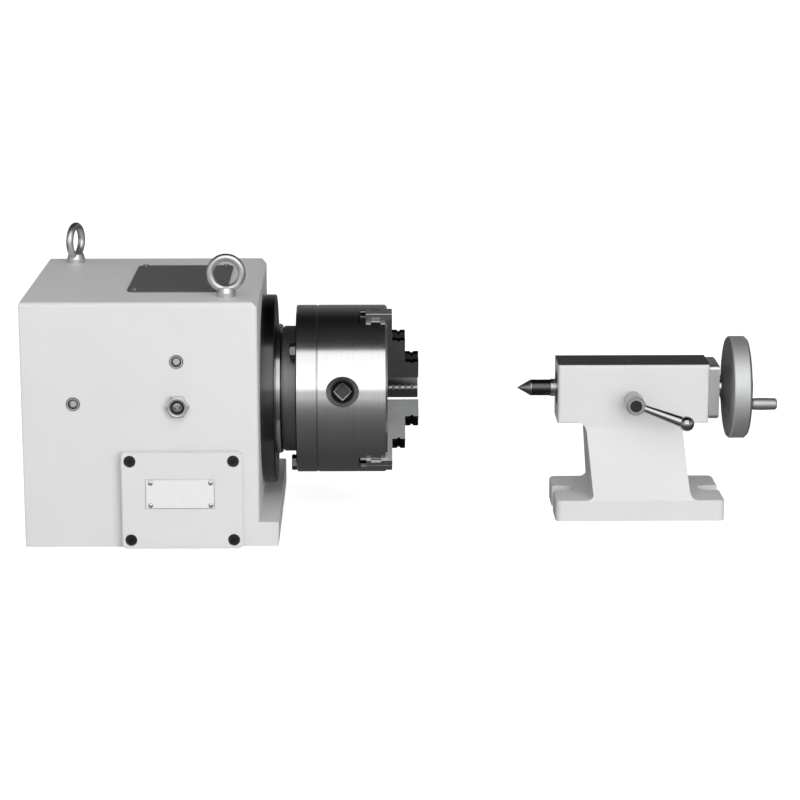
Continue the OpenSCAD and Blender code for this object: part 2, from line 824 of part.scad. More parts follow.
module motor_pulley() {
    color("#9da1a4")
        pulley(motor_pulley_r, motor_pulley_teeth, motor_shaft_r, motor_x, motor_z);
}

module worm_pulley() {
    color("#9da1a4") pulley(worm_pulley_r, worm_pulley_teeth, worm_shaft_r, wheel_x, worm_z);
}

// The outline that a belt takes round both pulleys, at a distance from their rims
function arc_points(x, r, a0, a1) = [for (i = [0:36]) let (a = a0 + (a1 - a0) * i / 36)
    [x + r * cos(a), r * sin(a)]];

module belt_outline(out) {
    r1 = motor_pulley_r + out;
    r2 = worm_pulley_r + out;
    d = wheel_x - motor_x;
    lean = 90 + asin((r2 - r1) / d);
    polygon(concat(arc_points(0, r1, lean, 360 - lean), arc_points(d, r2, 360 - lean, 360 + lean)));
}

module drive_belt() {
    color("#151515") translate([motor_x, belt_y + 0.5, worm_z]) rotate([-90, 0, 0])
        linear_extrude(belt_w) difference() {
            belt_outline(belt_lift + belt_t);
            belt_outline(belt_lift);
        }
}

module worm_bearing_places() {
    for (y = [-worm_bearing_y - worm_bearing_w, worm_bearing_y]) translate([0, y, 0]) children();
}

module worm_bearings_outer() {
    color("#c0c4c8") worm_bearing_places()
        turned_y([[worm_bore_r - 4, 0], [worm_bore_r, 0], [worm_bore_r, worm_bearing_w],
            [worm_bore_r - 4, worm_bearing_w]], wheel_x, worm_z);
}

module worm_bearings_inner() {
    r0 = worm_shaft_r + 3;
    r1 = worm_bore_r - 4 - air_gap / 2;
    color("#d0d4d8") worm_bearing_places() {
        turned_y([[worm_shaft_r, 0], [r0, 0], [r0, worm_bearing_w], [worm_shaft_r, worm_bearing_w]],
            wheel_x, worm_z);
        for (k = [0:8])
            translate([wheel_x, worm_bearing_w / 2, worm_z]) rotate([0, k * 40, 0])
                translate([(r0 + r1) / 2, 0, 0]) sphere(r = (r1 - r0) / 2 + eps, $fn = 32);
    }
}

// One turn of the worm's thread is a ring of profiles along a helix
module worm_thread() {
    steps = 20;
    count = worm_thread_turns * steps;
    half_root = 0.33 * worm_lead;
    half_tip = 0.13 * worm_lead;
    profile = [[worm_root_r - 0.5, -half_root], [worm_tip_r, -half_tip], [worm_tip_r, half_tip],
        [worm_root_r - 0.5, half_root]];
    points = [for (i = [0:count], p = profile)
        let (a = i * 360 / steps, y = (i - count / 2) * worm_lead / steps + p[1])
            [p[0] * sin(a), y, p[0] * cos(a)]];
    walls = [for (i = [0:count - 1], k = [0:3])
        let (a = 4 * i + k, b = 4 * i + (k + 1) % 4) [a, b, b + 4, a + 4]];
    polyhedron(points, concat([[3, 2, 1, 0]], walls,
        [[for (k = [0:3]) 4 * count + k]]), convexity = 10);
}

module worm_shaft() {
    color("#b9bdc0") translate([wheel_x, 0, worm_z]) {
        worm_thread();
        rotate([-90, 0, 0]) rotate_extrude() polygon([[0, belt_y], [worm_shaft_r - 0.5, belt_y],
            [worm_shaft_r, belt_y + 0.5], [worm_shaft_r, -worm_bearing_y],
            [worm_root_r, -worm_bearing_y], [worm_root_r, worm_bearing_y],
            [worm_shaft_r, worm_bearing_y], [worm_shaft_r, worm_bearing_y + worm_bearing_w + 4],
            [0, worm_bearing_y + worm_bearing_w + 4]]);
    }
}

module worm_end_cap() {
    y0 = worm_bearing_y + worm_bearing_w;
    color("#8f9296") turned_y([[12, y0], [worm_bore_r - 0.05, y0], [worm_bore_r - 0.05, head_back],
        [worm_bore_r + 6, head_back], [worm_bore_r + 6, head_back + 4],
        [worm_bore_r + 5, head_back + 5], [0, head_back + 5], [0, head_back - 4],
        [12, head_back - 4]], wheel_x, worm_z);
}

module cable_gland() {
    y = head_back + rear_cover_t;
    color("#1d1f21") difference() {
        union() {
            rod_y(gland_r, [y - rear_cover_t - 8, y + 2], gland_x, gland_z);
            translate([gland_x, y + 6, gland_z]) rotate([90, 0, 0])
                cylinder(r = gland_r + 4, h = 6, $fn = 6);
            turned_y([[0, y + 6 - eps], [gland_r + 2, y + 6 - eps], [gland_r + 2, y + 11],
                [gland_r - 2, y + 15], [0, y + 15]], gland_x, gland_z);
            // lock nut inside the cover
            translate([gland_x, head_back, gland_z]) rotate([90, 0, 0])
                cylinder(r = gland_r + 3, h = 5, $fn = 6);
        }
        rod_y(4.5, [y - rear_cover_t - 9, y + 16], gland_x, gland_z);
    }
}

// Spindle

module spindle() {
    color("#c9cccf") difference() {
        turned([[bore_r, spindle_x0 + tube_mouth], [bore_r, nose_x], [nose_r - 1.7, nose_x],
            [nose_r, nose_x - 1.7], [nose_r, nose_x0], [seal_seat_r, nose_x0],
            [seal_seat_r, head_x - 2], [front_seat_r, head_x - 2],
            [front_seat_r, front_bearing_x], [hub_seat_r, front_bearing_x],
            [hub_seat_r, chamber_x0], [rear_seat_r, chamber_x0], [rear_seat_r, spindle_x0],
            [tube_r + air_gap, spindle_x0], [tube_r + air_gap, spindle_x0 + tube_mouth]]);
        // keyway under the worm wheel
        block([wheel_x - 14, wheel_x + 14], [-5, 5], [centre_h + hub_seat_r - 4, centre_h + 60]);
        at_adapter_screws() cylinder(r = m8[0] + screw_fit, h = 2 * (m8_l + 2), center = true);
    }
}

module wheel_profile() {
    pitch = 360 / wheel_teeth;
    tip = wheel_pitch_r + gear_m;
    root = wheel_pitch_r - 1.3 * gear_m;
    polygon([for (k = [0:wheel_teeth - 1], p = [[root, -0.34], [tip, -0.12], [tip, 0.12],
        [root, 0.34]]) let (a = (k + 0.5 + p[1]) * pitch) [p[0] * cos(a), p[0] * sin(a)]]);
}

module worm_wheel() {
    x0 = wheel_x - wheel_w / 2;
    color("#b0853f") difference() {
        union() {
            translate([x0, 0, centre_h]) rotate([90, 0, 90]) linear_extrude(wheel_w)
                wheel_profile();
            // long hub that spaces the two bearings
            rod_x(hub_seat_r + 9, [chamber_x0 + air_gap, front_bearing_x]);
        }
        rod_x(hub_seat_r, [chamber_x0 - 1, front_bearing_x + 1]);
        // lightening groove on both sides of the web
        for (x = [x0 - 1, x0 + wheel_w - 6]) turned([[hub_seat_r + 9, x], [wheel_pitch_r - 9, x],
            [wheel_pitch_r - 9, x + 7], [hub_seat_r + 9, x + 7]]);
        // throat that hugs the worm
        translate([wheel_x, 0, centre_h]) rotate([0, 90, 0]) rotate_extrude()
            translate([wheel_pitch_r + worm_pitch_r, 0]) circle(worm_tip_r - 2 * gear_m + 0.6);
        block([chamber_x0 - 1, front_bearing_x + 1], [-5, 5],
            [centre_h + hub_seat_r - 1, centre_h + hub_seat_r + 4]);
    }
}

module wheel_key() {
    color("#777a7d") block([wheel_x - 14, wheel_x + 14], [-5, 5],
        [centre_h + hub_seat_r - 4, centre_h + hub_seat_r + 3.8]);
}

module spindle_nut() {
    x0 = rear_bearing_x - nut_w;
    color("#3c3e41") difference() {
        rod_x(nut_r, [x0, rear_bearing_x]);
        rod_x(rear_seat_r, [x0 - 1, rear_bearing_x + 1]);
        for (k = [0:5]) about_spindle(60 * k)
            block([x0 - 1, x0 + 6], [nut_r - 4, nut_r + 4], [-4, 4]);
    }
}

// Adapter and chuck

module adapter_plate() {
    color("#85888b") difference() {
        turned([[bore_r, nose_x], [boss_r - 1.5, nose_x], [boss_r - 1.5, nose_x + 1],
            [boss_r, nose_x + 1.5], [boss_r, plate_x], [chuck_r - 1, plate_x],
            [chuck_r, plate_x + 1], [chuck_r, chuck_x - 1], [chuck_r - 1, chuck_x],
            [spigot_r - 0.05, chuck_x], [spigot_r - 0.05, chuck_x + spigot_l - 0.5],
            [bore_r, chuck_x + spigot_l - 0.5]]);
        at_adapter_screws() screw_hole(m8, m8_l);
        at_chuck_bolts() cylinder(r = m8[0] + screw_fit, h = 2 * (back_plate_t + 1), center = true);
    }
}

module cap_screws_m8() {
    color("#2a2c2e") {
        at_adapter_screws() cap_screw(m8, m8_l);
        at_chuck_bolts() hex_bolt(m8, m8_hex, m8_l);
    }
}

// One jaw slot along +Y from the axis, with the guide ribs left standing
module jaw_slot() {
    hw = jaw_w / 2 + jaw_gap;
    difference() {
        block([chuck_x + slot_s, face_x + 1], [0, chuck_r + 5], [-hw, hw]);
        for (s = [-1, 1])
            translate([chuck_x + guide_s[0] + jaw_gap, 0, s * hw - (guide_d - jaw_gap)])
                cube([guide_s[1] - guide_s[0] - 2 * jaw_gap, chuck_r + 6, 2 * (guide_d - jaw_gap)]);
    }
}

module chuck_body() {
    color("#a9acae") difference() {
        turned([[0, chuck_x], [chuck_r - 1, chuck_x], [chuck_r, chuck_x + 1],
            [chuck_r, face_x - 2], [chuck_r - 2, face_x], [0, face_x]]);
        rod_x(bore_r, [chuck_x - 1, face_x + 1]);
        // recess for the adapter's spigot, the back cover and the scroll
        rod_x(spigot_r, [chuck_x - 1, chuck_x + spigot_l]);
        rod_x(back_cover_r, [chuck_x + spigot_l - eps, chuck_x + spigot_l + back_cover_t]);
        turned([[hub_r, chuck_x + spigot_l - eps], [cavity_r, chuck_x + spigot_l - eps],
            [cavity_r, chuck_x + cavity_s], [hub_r, chuck_x + cavity_s]]);
        for (a = jaw_angles) about_spindle(a) jaw_slot();
        for (a = pinion_angles) about_spindle(a) translate([chuck_x + pinion_s, 0, 0])
            rotate([-90, 0, 0]) {
                translate([0, 0, cavity_r - 2]) cylinder(r = pinion_shank_r + run_fit, h = 30);
                translate([0, 0, hub_r - 5]) cylinder(r = pinion_nose_r + run_fit, h = 10);
                translate([0, 0, chuck_r - key_cone])
                    cylinder(r1 = pinion_shank_r, r2 = pinion_shank_r + 6, h = 6);
            }
        at_chuck_bolts()
            translate([0, 0, -m8_l - 2]) cylinder(r = m8[0] + screw_fit, h = m8_l);
    }
}

module chuck_back_cover() {
    color("#8b8e91") turned([[hub_r + 0.05, chuck_x + spigot_l],
        [back_cover_r - 0.05, chuck_x + spigot_l],
        [back_cover_r - 0.05, chuck_x + spigot_l + back_cover_t],
        [hub_r + 0.05, chuck_x + spigot_l + back_cover_t]]);
}

// Radius of the middle of the spiral ridge after some degrees of winding
function ridge_r(a) = scroll_out_r - scroll_p * a / 360;

module spiral_ridge() {
    last = scroll_turns * scroll_steps;
    half = thread_w / 2;
    function at(i, side) = let (a = i * 360 / scroll_steps, r = ridge_r(a) + side * half)
        [r * cos(a), r * sin(a)];
    polygon(concat([for (i = [0:last]) at(i, 1)], [for (i = [last:-1:0]) at(i, -1)]));
}

module scroll() {
    pitch = 360 / scroll_teeth;
    tip_s = chuck_x + scroll_tooth_s - pinion_add;
    color("#8e9194") difference() {
        union() {
            turned([[hub_r + run_fit, chuck_x + scroll_plate_s - 6],
                [hub_r + 5, chuck_x + scroll_plate_s - 6], [hub_r + 5, chuck_x + scroll_plate_s],
                [scroll_r, chuck_x + scroll_plate_s], [scroll_r, chuck_x + scroll_face_s],
                [hub_r + run_fit, chuck_x + scroll_face_s]]);
            // toothed ring on the rear, met by the pinions
            turned([[mesh_r - mesh_w / 2, tip_s], [mesh_r + mesh_w / 2, tip_s],
                [mesh_r + mesh_w / 2, chuck_x + scroll_plate_s + eps],
                [mesh_r - mesh_w / 2, chuck_x + scroll_plate_s + eps]]);
            translate([chuck_x + scroll_face_s - eps, 0, centre_h]) rotate([90, 0, 90])
                linear_extrude(thread_h + eps) spiral_ridge();
        }
        for (k = [0:scroll_teeth - 1]) about_spindle(pinion_angles[0] + k * pitch)
            translate([chuck_x, mesh_r + mesh_w / 2 + 1, 0]) rotate([90, 0, 0])
                linear_extrude(mesh_w + 2)
                    polygon([[scroll_tooth_s - pinion_add - 1, -2.3],
                        [scroll_tooth_s - pinion_add - 1, 2.3], [scroll_plate_s, 1.0],
                        [scroll_plate_s, -1.0]]);
    }
}

// The first groove of the spiral that a jaw at this angle can meet
function groove_r(a) = let (r = ridge_r(a) + scroll_p / 2) r - scroll_p * floor((r - 20) / scroll_p);

// A step of a jaw seen from the front, with a notch in its gripping end
module jaw_plan(r_end, notch) {
    hw = jaw_w / 2;
    side_r = jaw_tip_r + (hw - jaw_tip_land) / tan(60);
    polygon([[jaw_tip_r, -jaw_tip_land], [side_r, -hw], [r_end, -hw], [r_end, -notch],
        [r_end - notch, 0], [r_end, notch], [r_end, hw], [side_r, hw],
        [jaw_tip_r, jaw_tip_land]]);
}

// A square groove on its corner across a jaw, at a height above the chuck's face
module across_jaw(s, r, w) {
    translate([face_x + s, r, 0]) rotate([0, 0, 45]) cube([w, w, jaw_w + 1], center = true);
}

module jaw(a) {
    hw = jaw_w / 2;
    color("#8f9294") about_spindle(a) difference() {
        union() {
            translate([face_x - jaw_root, 0, 0]) rotate([90, 0, 90])
                linear_extrude(jaw_root + jaw_steps[0][1]) jaw_plan(jaw_steps[0][0], 0.5);
            for (step = [1, 2])
                translate([face_x, 0, 0]) rotate([90, 0, 90])
                    linear_extrude(jaw_steps[step][1]) jaw_plan(jaw_steps[step][0], 4.5);
            // crescent teeth that ride in the spiral
            for (k = [0:6])
                let (r = groove_r(a) + k * scroll_p)
                    if (r < jaw_steps[0][0] - 4)
                        translate([chuck_x + scroll_face_s + jaw_tooth_gap, 0, 0])
                            rotate([90, 0, 90])
                                linear_extrude(chuck_l - jaw_root - scroll_face_s - jaw_tooth_gap
                                    + eps) intersection() {
                                    difference() {
                                        translate([r + jaw_tooth_t / 2 - crescent_in_r, 0])
                                            circle(crescent_in_r);
                                        translate([r - jaw_tooth_t / 2 - crescent_out_r, 0])
                                            circle(crescent_out_r);
                                    }
                                    translate([r - 3, -jaw_tooth_hw])
                                        square([6, 2 * jaw_tooth_hw]);
                                }
        }
        // guide grooves along both sides
        for (s = [-1, 1])
            translate([chuck_x + guide_s[0], -1, s * hw - guide_d])
                cube([guide_s[1] - guide_s[0], chuck_r + 20, 2 * guide_d]);
        // serrations across the gripping tip, and one groove across each step's end
        for (k = [0:jaw_serrations - 1])
            across_jaw(jaw_serration_at + k * jaw_serration_p, jaw_tip_r, jaw_serration_w);
        for (step = [1, 2])
            across_jaw((jaw_steps[step - 1][1] + jaw_steps[step][1]) / 2, jaw_steps[step][0],
                jaw_groove_w);
    }
}

module jaw_1() { jaw(jaw_angles[0]); }
module jaw_2() { jaw(jaw_angles[1]); }
module jaw_3() { jaw(jaw_angles[2]); }

module pinion_profile() {
    tip = pinion_pitch_r + pinion_add;
    root = pinion_pitch_r - pinion_ded;
    pitch = 360 / pinion_teeth;
    polygon([for (k = [0:pinion_teeth - 1], p = [[root, -0.26], [tip, -0.07], [tip, 0.07],
        [root, 0.26]]) let (t = (k + p[1]) * pitch) [p[0] * cos(t), p[0] * sin(t)]]);
}

module pinion(a) {
    color("#3b3d40") about_spindle(a) translate([chuck_x + pinion_s, 0, 0]) rotate([-90, 0, 0])
        difference() {
            union() {
                translate([0, 0, hub_r - 4.7])
                    cylinder(r = pinion_nose_r, h = mesh_r - mesh_w / 2 - hub_r + 5);
                translate([0, 0, mesh_r - mesh_w / 2]) linear_extrude(mesh_w + 0.5) pinion_profile();
                translate([0, 0, mesh_r + mesh_w / 2 + 0.5])
                    cylinder(r = pinion_pitch_r - pinion_ded, h = 5);
                translate([0, 0, cavity_r + 0.5])
                    cylinder(r = pinion_shank_r, h = chuck_r - key_cone - cavity_r - 0.5);
            }
            // square for the chuck key, with a lead-in, on its corner at rest
            rotate(45) translate([-key_sq / 2, -key_sq / 2, chuck_r - key_cone - 12])
                cube([key_sq, key_sq, 20]);
            translate([0, 0, chuck_r - key_cone - key_lead_in])
                cylinder(r1 = pinion_shank_r - 3, r2 = pinion_shank_r - 0.8,
                    h = key_lead_in + 0.5);
        }
}

module pinion_1() { pinion(pinion_angles[0]); }
module pinion_2() { pinion(pinion_angles[1]); }
module pinion_3() { pinion(pinion_angles[2]); }

// Tailstock

module foot_slot(x, dir) {
    r = foot_slot_w / 2;
    end = x - dir * (foot_slot_l - r);
    translate([end, 0, -1]) cylinder(r = r, h = foot_t + 2);
    translate([min(end, x + dir), -r, -1]) cube([abs(end - x) + 1, 2 * r, foot_t + 2]);
}

// Front view of the column, leaning along the table, with fillets at its head and foot
module column_front() {
    f = 7;
    x0 = column_top_x;
    x1 = x0 + column_lean;
    polygon([[x0, box_z0 + 6], [x0 + column_l, box_z0 + 6], [x0 + column_l, box_z0],
        [x1 + column_l, foot_t - 2], [x1, foot_t - 2], [x0, box_z0]]);
    translate([x0 - f, box_z0 - eps]) square([column_l + 2 * f, barrel_low_r + 1]);
    translate([x0, box_z0]) rotate(180) fillet(f);
    translate([x0 + column_l, box_z0]) rotate(-90) fillet(f);
    translate([x1, foot_t]) rotate(90) fillet(f);
    translate([x1 + column_l, foot_t]) fillet(f);
}

module tailstock_body() {
    top = tail_w / 2;
    low = foot_w / 2 - 2;
    color("gainsboro") difference() {
        union() {
            // barrel housing
            intersection() {
                translate([tail_x, 0, 0]) rotate([90, 0, 90]) linear_extrude(tail_l) difference() {
                    translate([-top, box_z0]) square([tail_w, box_z1 - box_z0]);
                    translate([-top, box_z1]) rotate(-90) fillet(barrel_top_r);
                    translate([top, box_z1]) rotate(180) fillet(barrel_top_r);
                    translate([-top, box_z0]) fillet(barrel_low_r);
                    translate([top, box_z0]) rotate(90) fillet(barrel_low_r);
                }
                translate([tail_x + tail_l / 2, 0, 0]) linear_extrude(box_z1)
                    round_rect(tail_l, tail_w, barrel_end_r);
            }
            // column that widens towards the foot
            intersection() {
                translate([0, foot_w / 2, 0]) rotate([90, 0, 0]) linear_extrude(foot_w)
                    column_front();
                translate([foot_x, 0, 0]) rotate([90, 0, 90]) linear_extrude(foot_l)
                    polygon([[-top, box_z0 + 6], [-top, box_z0 - 4], [-low, foot_t + 3],
                        [-low - 1.5, foot_t - 2], [low + 1.5, foot_t - 2], [low, foot_t + 3],
                        [top, box_z0 - 4], [top, box_z0 + 6]]);
            }
            translate([foot_x + foot_l / 2, 0, 0]) {
                linear_extrude(foot_t - 1) round_rect(foot_l, foot_w, foot_r);
                linear_extrude(foot_t) round_rect(foot_l - 2, foot_w - 2, foot_r - 1);
            }
        }
        // quill bore with its seal seat, screw chamber behind it
        rod_x(quill_r + run_fit, [tail_x - 1, quill_x + quill_l + 10]);
        rod_x(seal_out_r, [tail_x - 1, tail_x + seal_w]);
        rod_x(screw_collar_r + air_gap, [quill_x + quill_l + 10 - eps, tail_x1 + 1]);
        foot_slot(foot_x, -1);
        foot_slot(foot_x + foot_l, 1);
        // key slot along the underside, at both ends
        for (x = [foot_x - 1, foot_x + foot_l - 39])
            block([x, x + 40], [-key_w / 2, key_w / 2], [-1, key_d]);
        // quill key, clamp stud and oiler
        rod_y(3 + screw_fit, [quill_r - 2, tail_w / 2 + 1], quill_key_x, centre_h);
        rod_y(stud_r + run_fit, [-tail_w / 2 - 1, -quill_r + 2], lever_x, lever_z);
        translate([oiler_x, oiler_y, centre_h + quill_r - 1]) cylinder(r = 1.2, h = 30);
        translate([oiler_x, oiler_y, box_z1 - 5]) cylinder(r = 3, h = 6);
        at_end_screws() screw_hole(m5, 14 - end_plate_t + m5[2] + 4);
    }
}

module at_end_screws() {
    for (sy = [-1, 1], sz = [-1, 1])
        translate([tail_x1 + end_plate_t - m5[2] - 0.5, sy * end_screw_at[0],
            centre_h - 0.5 + sz * end_screw_at[1]]) rotate([0, 90, 0]) children();
}

module quill_seal() {
    color("#141414") turned([[quill_r + run_fit, tail_x + 0.3], [seal_out_r, tail_x + 0.3],
        [seal_out_r, tail_x + seal_w], [quill_r + run_fit, tail_x + seal_w]]);
}

module end_plate() {
    color("#9fa2a4") difference() {
        translate([tail_x1, 0, centre_h - 0.5]) rotate([90, 0, 90]) {
            linear_extrude(end_plate_t - 1) round_rect(tail_w - 3, 52, 4);
            linear_extrude(end_plate_t) round_rect(tail_w - 5, 50, 3);
        }
        rod_x(shaft_r + run_fit, [tail_x1 - 1, tail_x1 + end_plate_t + 1]);
        at_end_screws() screw_hole(m5, 14);
    }
}

module end_plate_screws() {
    color("#2a2c2e") at_end_screws() cap_screw(m5, 14);
}

module oiler() {
    color("#b58b3c") translate([oiler_x, oiler_y, box_z1 - 5]) difference() {
        cylinder(r = 3, h = 5.4);
        translate([0, 0, 4.4]) cylinder(r = 1.4, h = 2);
    }
}

module quill() {
    x1 = quill_x + quill_l;
    color("#9a9da0") difference() {
        turned([[0, quill_x], [quill_r - 1, quill_x], [quill_r, quill_x + 1], [quill_r, x1],
            [0, x1]]);
        turned([[0, quill_x - 1], [taper_r[0], quill_x - 1], [taper_r[0], quill_x],
            [taper_r[1], quill_x + taper_l], [0, quill_x + taper_l]]);
        rod_x(screw_r + run_fit, [x1 - screw_l + 10, x1 + 1]);
        rod_x(screw_r - 2, [quill_x + taper_l - 1, x1 - screw_l + 11]);
        // keyway on the far side, as long as the travel
        block([quill_key_x - key_half, quill_key_x + key_half + quill_travel],
            [quill_r - keyway_d, quill_r + 1], [centre_h - key_half, centre_h + key_half]);
    }
}

module tail_centre() {
    tip = quill_x - centre_out;
    cone = centre_r / tan(30);
    color("#54575a") turned([[0, tip], [centre_r, tip + cone], [centre_r, quill_x - 6.5],
        [taper_r[0] + 0.2, quill_x - 6.3], [taper_r[0] + 0.2, quill_x], [taper_r[0], quill_x],
        [taper_r[1], quill_x + taper_l], [0, quill_x + taper_l]]);
}

module quill_key() {
    y1 = tail_w / 2 - 0.7;
    color("#777a7d") difference() {
        turned_y([[0, quill_r - keyway_d + run_fit], [quill_key_r, quill_r - keyway_d + run_fit],
            [quill_key_r, quill_r + 1], [3, quill_r + 1.6], [3, y1 - 0.5], [2.5, y1], [0, y1]],
            quill_key_x, centre_h);
        translate([quill_key_x, y1 - 3, centre_h]) rotate([-90, 0, 0])
            cylinder(r = 1.8, h = 4, $fn = 6);
    }
}

module lead_screw() {
    x0 = quill_x + quill_l - screw_l + 12;
    collar = tail_x1 - screw_collar_t;
    color("#aeb1b4") turned([[0, x0], [screw_r - 1, x0], [screw_r, x0 + 1], [screw_r, collar],
        [screw_collar_r, collar], [screw_collar_r, tail_x1 - 0.1], [shaft_r, tail_x1 - 0.1],
        [shaft_r, wheel_x0 - wheel_boss_l], [shaft_r - 2, wheel_x0 - wheel_boss_l],
        [shaft_r - 2, wheel_x0 + wheel_t], [0, wheel_x0 + wheel_t]]);
}

module handwheel() {
    x1 = wheel_x0 + wheel_t;
    color("#8d9092") difference() {
        turned([[shaft_r - 2, wheel_x0 - wheel_boss_l], [shaft_r + 4, wheel_x0 - wheel_boss_l],
            [27, wheel_x0], [wheel_r - 1.5, wheel_x0], [wheel_r, wheel_x0 + 1.5],
            [wheel_r, x1 - 2.5], [wheel_r - 2.5, x1], [dish_r[1] + 1, x1],
            [dish_r[1], x1 - dish_d], [dish_r[0], x1 - dish_d], [dish_r[0] - 1, x1 - 1],
            [shaft_r - 2, x1 - 1]]);
        rod_x(handle_pin_r, [wheel_x0 + 2, x1 + 1], handle_y, centre_h + handle_z);
    }
}

module wheel_nut() {
    x1 = wheel_x0 + wheel_t;
    color("#5a5d60") translate([x1 - 1, 0, centre_h]) rotate([0, 90, 0]) difference() {
        cylinder(r = 10, h = 7, $fn = 6);
        translate([0, 0, -1]) cylinder(r = shaft_r - 2, h = 2.01);
    }
}

module handle_pin() {
    x1 = wheel_x0 + wheel_t;
    color("#b9bcbe") turned_at_handle([[0, wheel_x0 + 2], [handle_pin_r, wheel_x0 + 2],
        [handle_pin_r, x1 + handle_l - 4], [handle_pin_r + 1.5, x1 + handle_l - 4],
        [handle_pin_r + 1.5, x1 + handle_l - 2], [0, x1 + handle_l - 2]]);
}

module turned_at_handle(points) {
    translate([0, handle_y, 0]) turned(points, centre_h + handle_z);
}

module handle() {
    x1 = wheel_x0 + wheel_t + air_gap;
    x2 = wheel_x0 + wheel_t + handle_l;
    r1 = handle_pin_r + run_fit;
    r2 = handle_pin_r + 1.8;
    color("#b9bcbe") turned_at_handle([[r1, x1], [handle_r - 0.5, x1], [handle_r, x1 + 1],
        [handle_r + 0.3, x1 + 8], [handle_r, x2 - 1.5], [handle_r - 1.2, x2], [0, x2],
        [0, x2 - 1.6], [r2, x2 - 1.6], [r2, x2 - 4.4], [r1, x2 - 4.4]]);
}

module clamp_lever() {
    y0 = -tail_w / 2 - air_gap;
    y1 = -tail_w / 2 - lever_hub_l;
    reach = lever_l - 2;
    pitch = asin(lever_rise / lever_l);
    color("#c9cccf") difference() {
        union() {
            turned_y([[0, y1], [lever_r - 1, y1], [lever_r, y1 + 1], [lever_r, y1 + 18],
                [lever_r - 1.3, y1 + 22], [lever_r - 0.8, y0], [0, y0]], lever_x, lever_z);
            translate([lever_x, y1 + 6, lever_z]) rotate([0, 90 + lever_drop, 0])
                rotate([pitch, 0, 0]) {
                    cylinder(r1 = 3.2, r2 = 5.4, h = lever_l);
                    translate([0, 0, lever_l]) sphere(lever_ball_r);
                }
        }
        rod_y(stud_r - 1, [y0 - lever_hub_l + 10, y0 + 1], lever_x, lever_z);
        rod_y(lever_cap_r + screw_fit, [y1 - 1, y1 + 2], lever_x, lever_z);
    }
}

module lever_cap() {
    y1 = -tail_w / 2 - lever_hub_l;
    color("#101112") difference() {
        rod_y(lever_cap_r, [y1 + 0.3, y1 + 2], lever_x, lever_z);
        translate([lever_x, y1 + 1.2, lever_z]) rotate([90, 0, 0]) cylinder(r = 2.5, h = 4, $fn = 6);
    }
}

// The stud that turns with the lever and presses on the side of the quill
module clamp_stud() {
    y0 = -tail_w / 2 - air_gap;
    tip = -quill_r - air_gap;
    color("#8c8f92") turned_y([[0, y0 - lever_hub_l + 10], [stud_r - 1, y0 - lever_hub_l + 10],
        [stud_r - 1, y0 + 1], [stud_r, y0 + 1.5], [stud_r, tip - 1], [stud_r - 1, tip], [0, tip]],
        lever_x, lever_z);
}

housing();
front_cover();
cap_screws_m6();
top_plate();
cover_screws_m4();
rear_cover();
side_cap();
through_tube();
bearing_flange();
oil_seal();
front_bearing_outer();
rear_bearing_outer();
sight_glass();
sight_lens();
filler_plugs();
eye_bolts();
motor_body();
motor_screws();
drive_belt();
worm_bearings_outer();
worm_end_cap();
cable_gland();
motor_shaft();
motor_pulley();
worm_shaft();
worm_pulley();
worm_bearings_inner();
spindle();
worm_wheel();
wheel_key();
front_bearing_inner();
rear_bearing_inner();
spindle_nut();
adapter_plate();
cap_screws_m8();
chuck_body();
chuck_back_cover();
scroll();
jaw_1();
jaw_2();
jaw_3();
pinion_1();
pinion_2();
pinion_3();
tailstock_body();
quill_seal();
end_plate();
end_plate_screws();
oiler();
quill();
tail_centre();
quill_key();
lead_screw();
handwheel();
wheel_nut();
handle_pin();
handle();
clamp_lever();
lever_cap();
clamp_stud();
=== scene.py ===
"""Looks of a rotary indexer, a worm-driven headstock with a scroll chuck, and its tailstock."""

import math

import bpy
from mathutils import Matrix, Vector


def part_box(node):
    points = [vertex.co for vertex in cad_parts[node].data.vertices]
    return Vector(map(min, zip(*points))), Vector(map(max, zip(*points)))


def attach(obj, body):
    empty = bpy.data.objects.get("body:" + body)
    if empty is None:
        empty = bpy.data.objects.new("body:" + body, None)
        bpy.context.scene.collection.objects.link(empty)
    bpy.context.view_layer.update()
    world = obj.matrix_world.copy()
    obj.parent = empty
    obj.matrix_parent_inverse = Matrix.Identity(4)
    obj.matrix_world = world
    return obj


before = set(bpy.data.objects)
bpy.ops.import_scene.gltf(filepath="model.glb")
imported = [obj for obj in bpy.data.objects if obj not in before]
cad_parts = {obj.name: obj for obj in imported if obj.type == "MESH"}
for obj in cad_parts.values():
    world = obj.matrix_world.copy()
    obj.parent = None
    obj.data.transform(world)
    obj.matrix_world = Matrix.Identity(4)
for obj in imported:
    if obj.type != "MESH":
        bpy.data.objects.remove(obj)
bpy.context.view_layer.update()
MM = 0.001


# Places and sizes in metres, from the frame's nodes where they have them

def middle_of(node):
    """The middle of a node's box."""
    low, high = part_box(node)
    return [(low[k] + high[k]) / 2 for k in range(3)]


AXIS_Z = middle_of("adapter_plate")[2]
SPINDLE_AXIS = (0, 0, AXIS_Z)
COVER_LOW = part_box("front_cover")[0]
COVER_Y = COVER_LOW[1]
WORM_AT = middle_of("worm_shaft")
# The adapter is a plate behind the chuck, on a boss this long
PLATE_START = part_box("adapter_plate")[0][0] + 13.1 * MM
# M8 screws further out than this hold the chuck, and the others hold the adapter
PLATED_FROM = 55 * MM
CHUCK_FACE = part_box("chuck_body")[1][0]
CHUCK_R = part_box("chuck_body")[1][2] - AXIS_Z
# The key holes' mouths reach this far from the pinions' middle, along the spindle
PINION_X = middle_of("pinion_1")[0]
MOUTH_REACH = 16 * MM
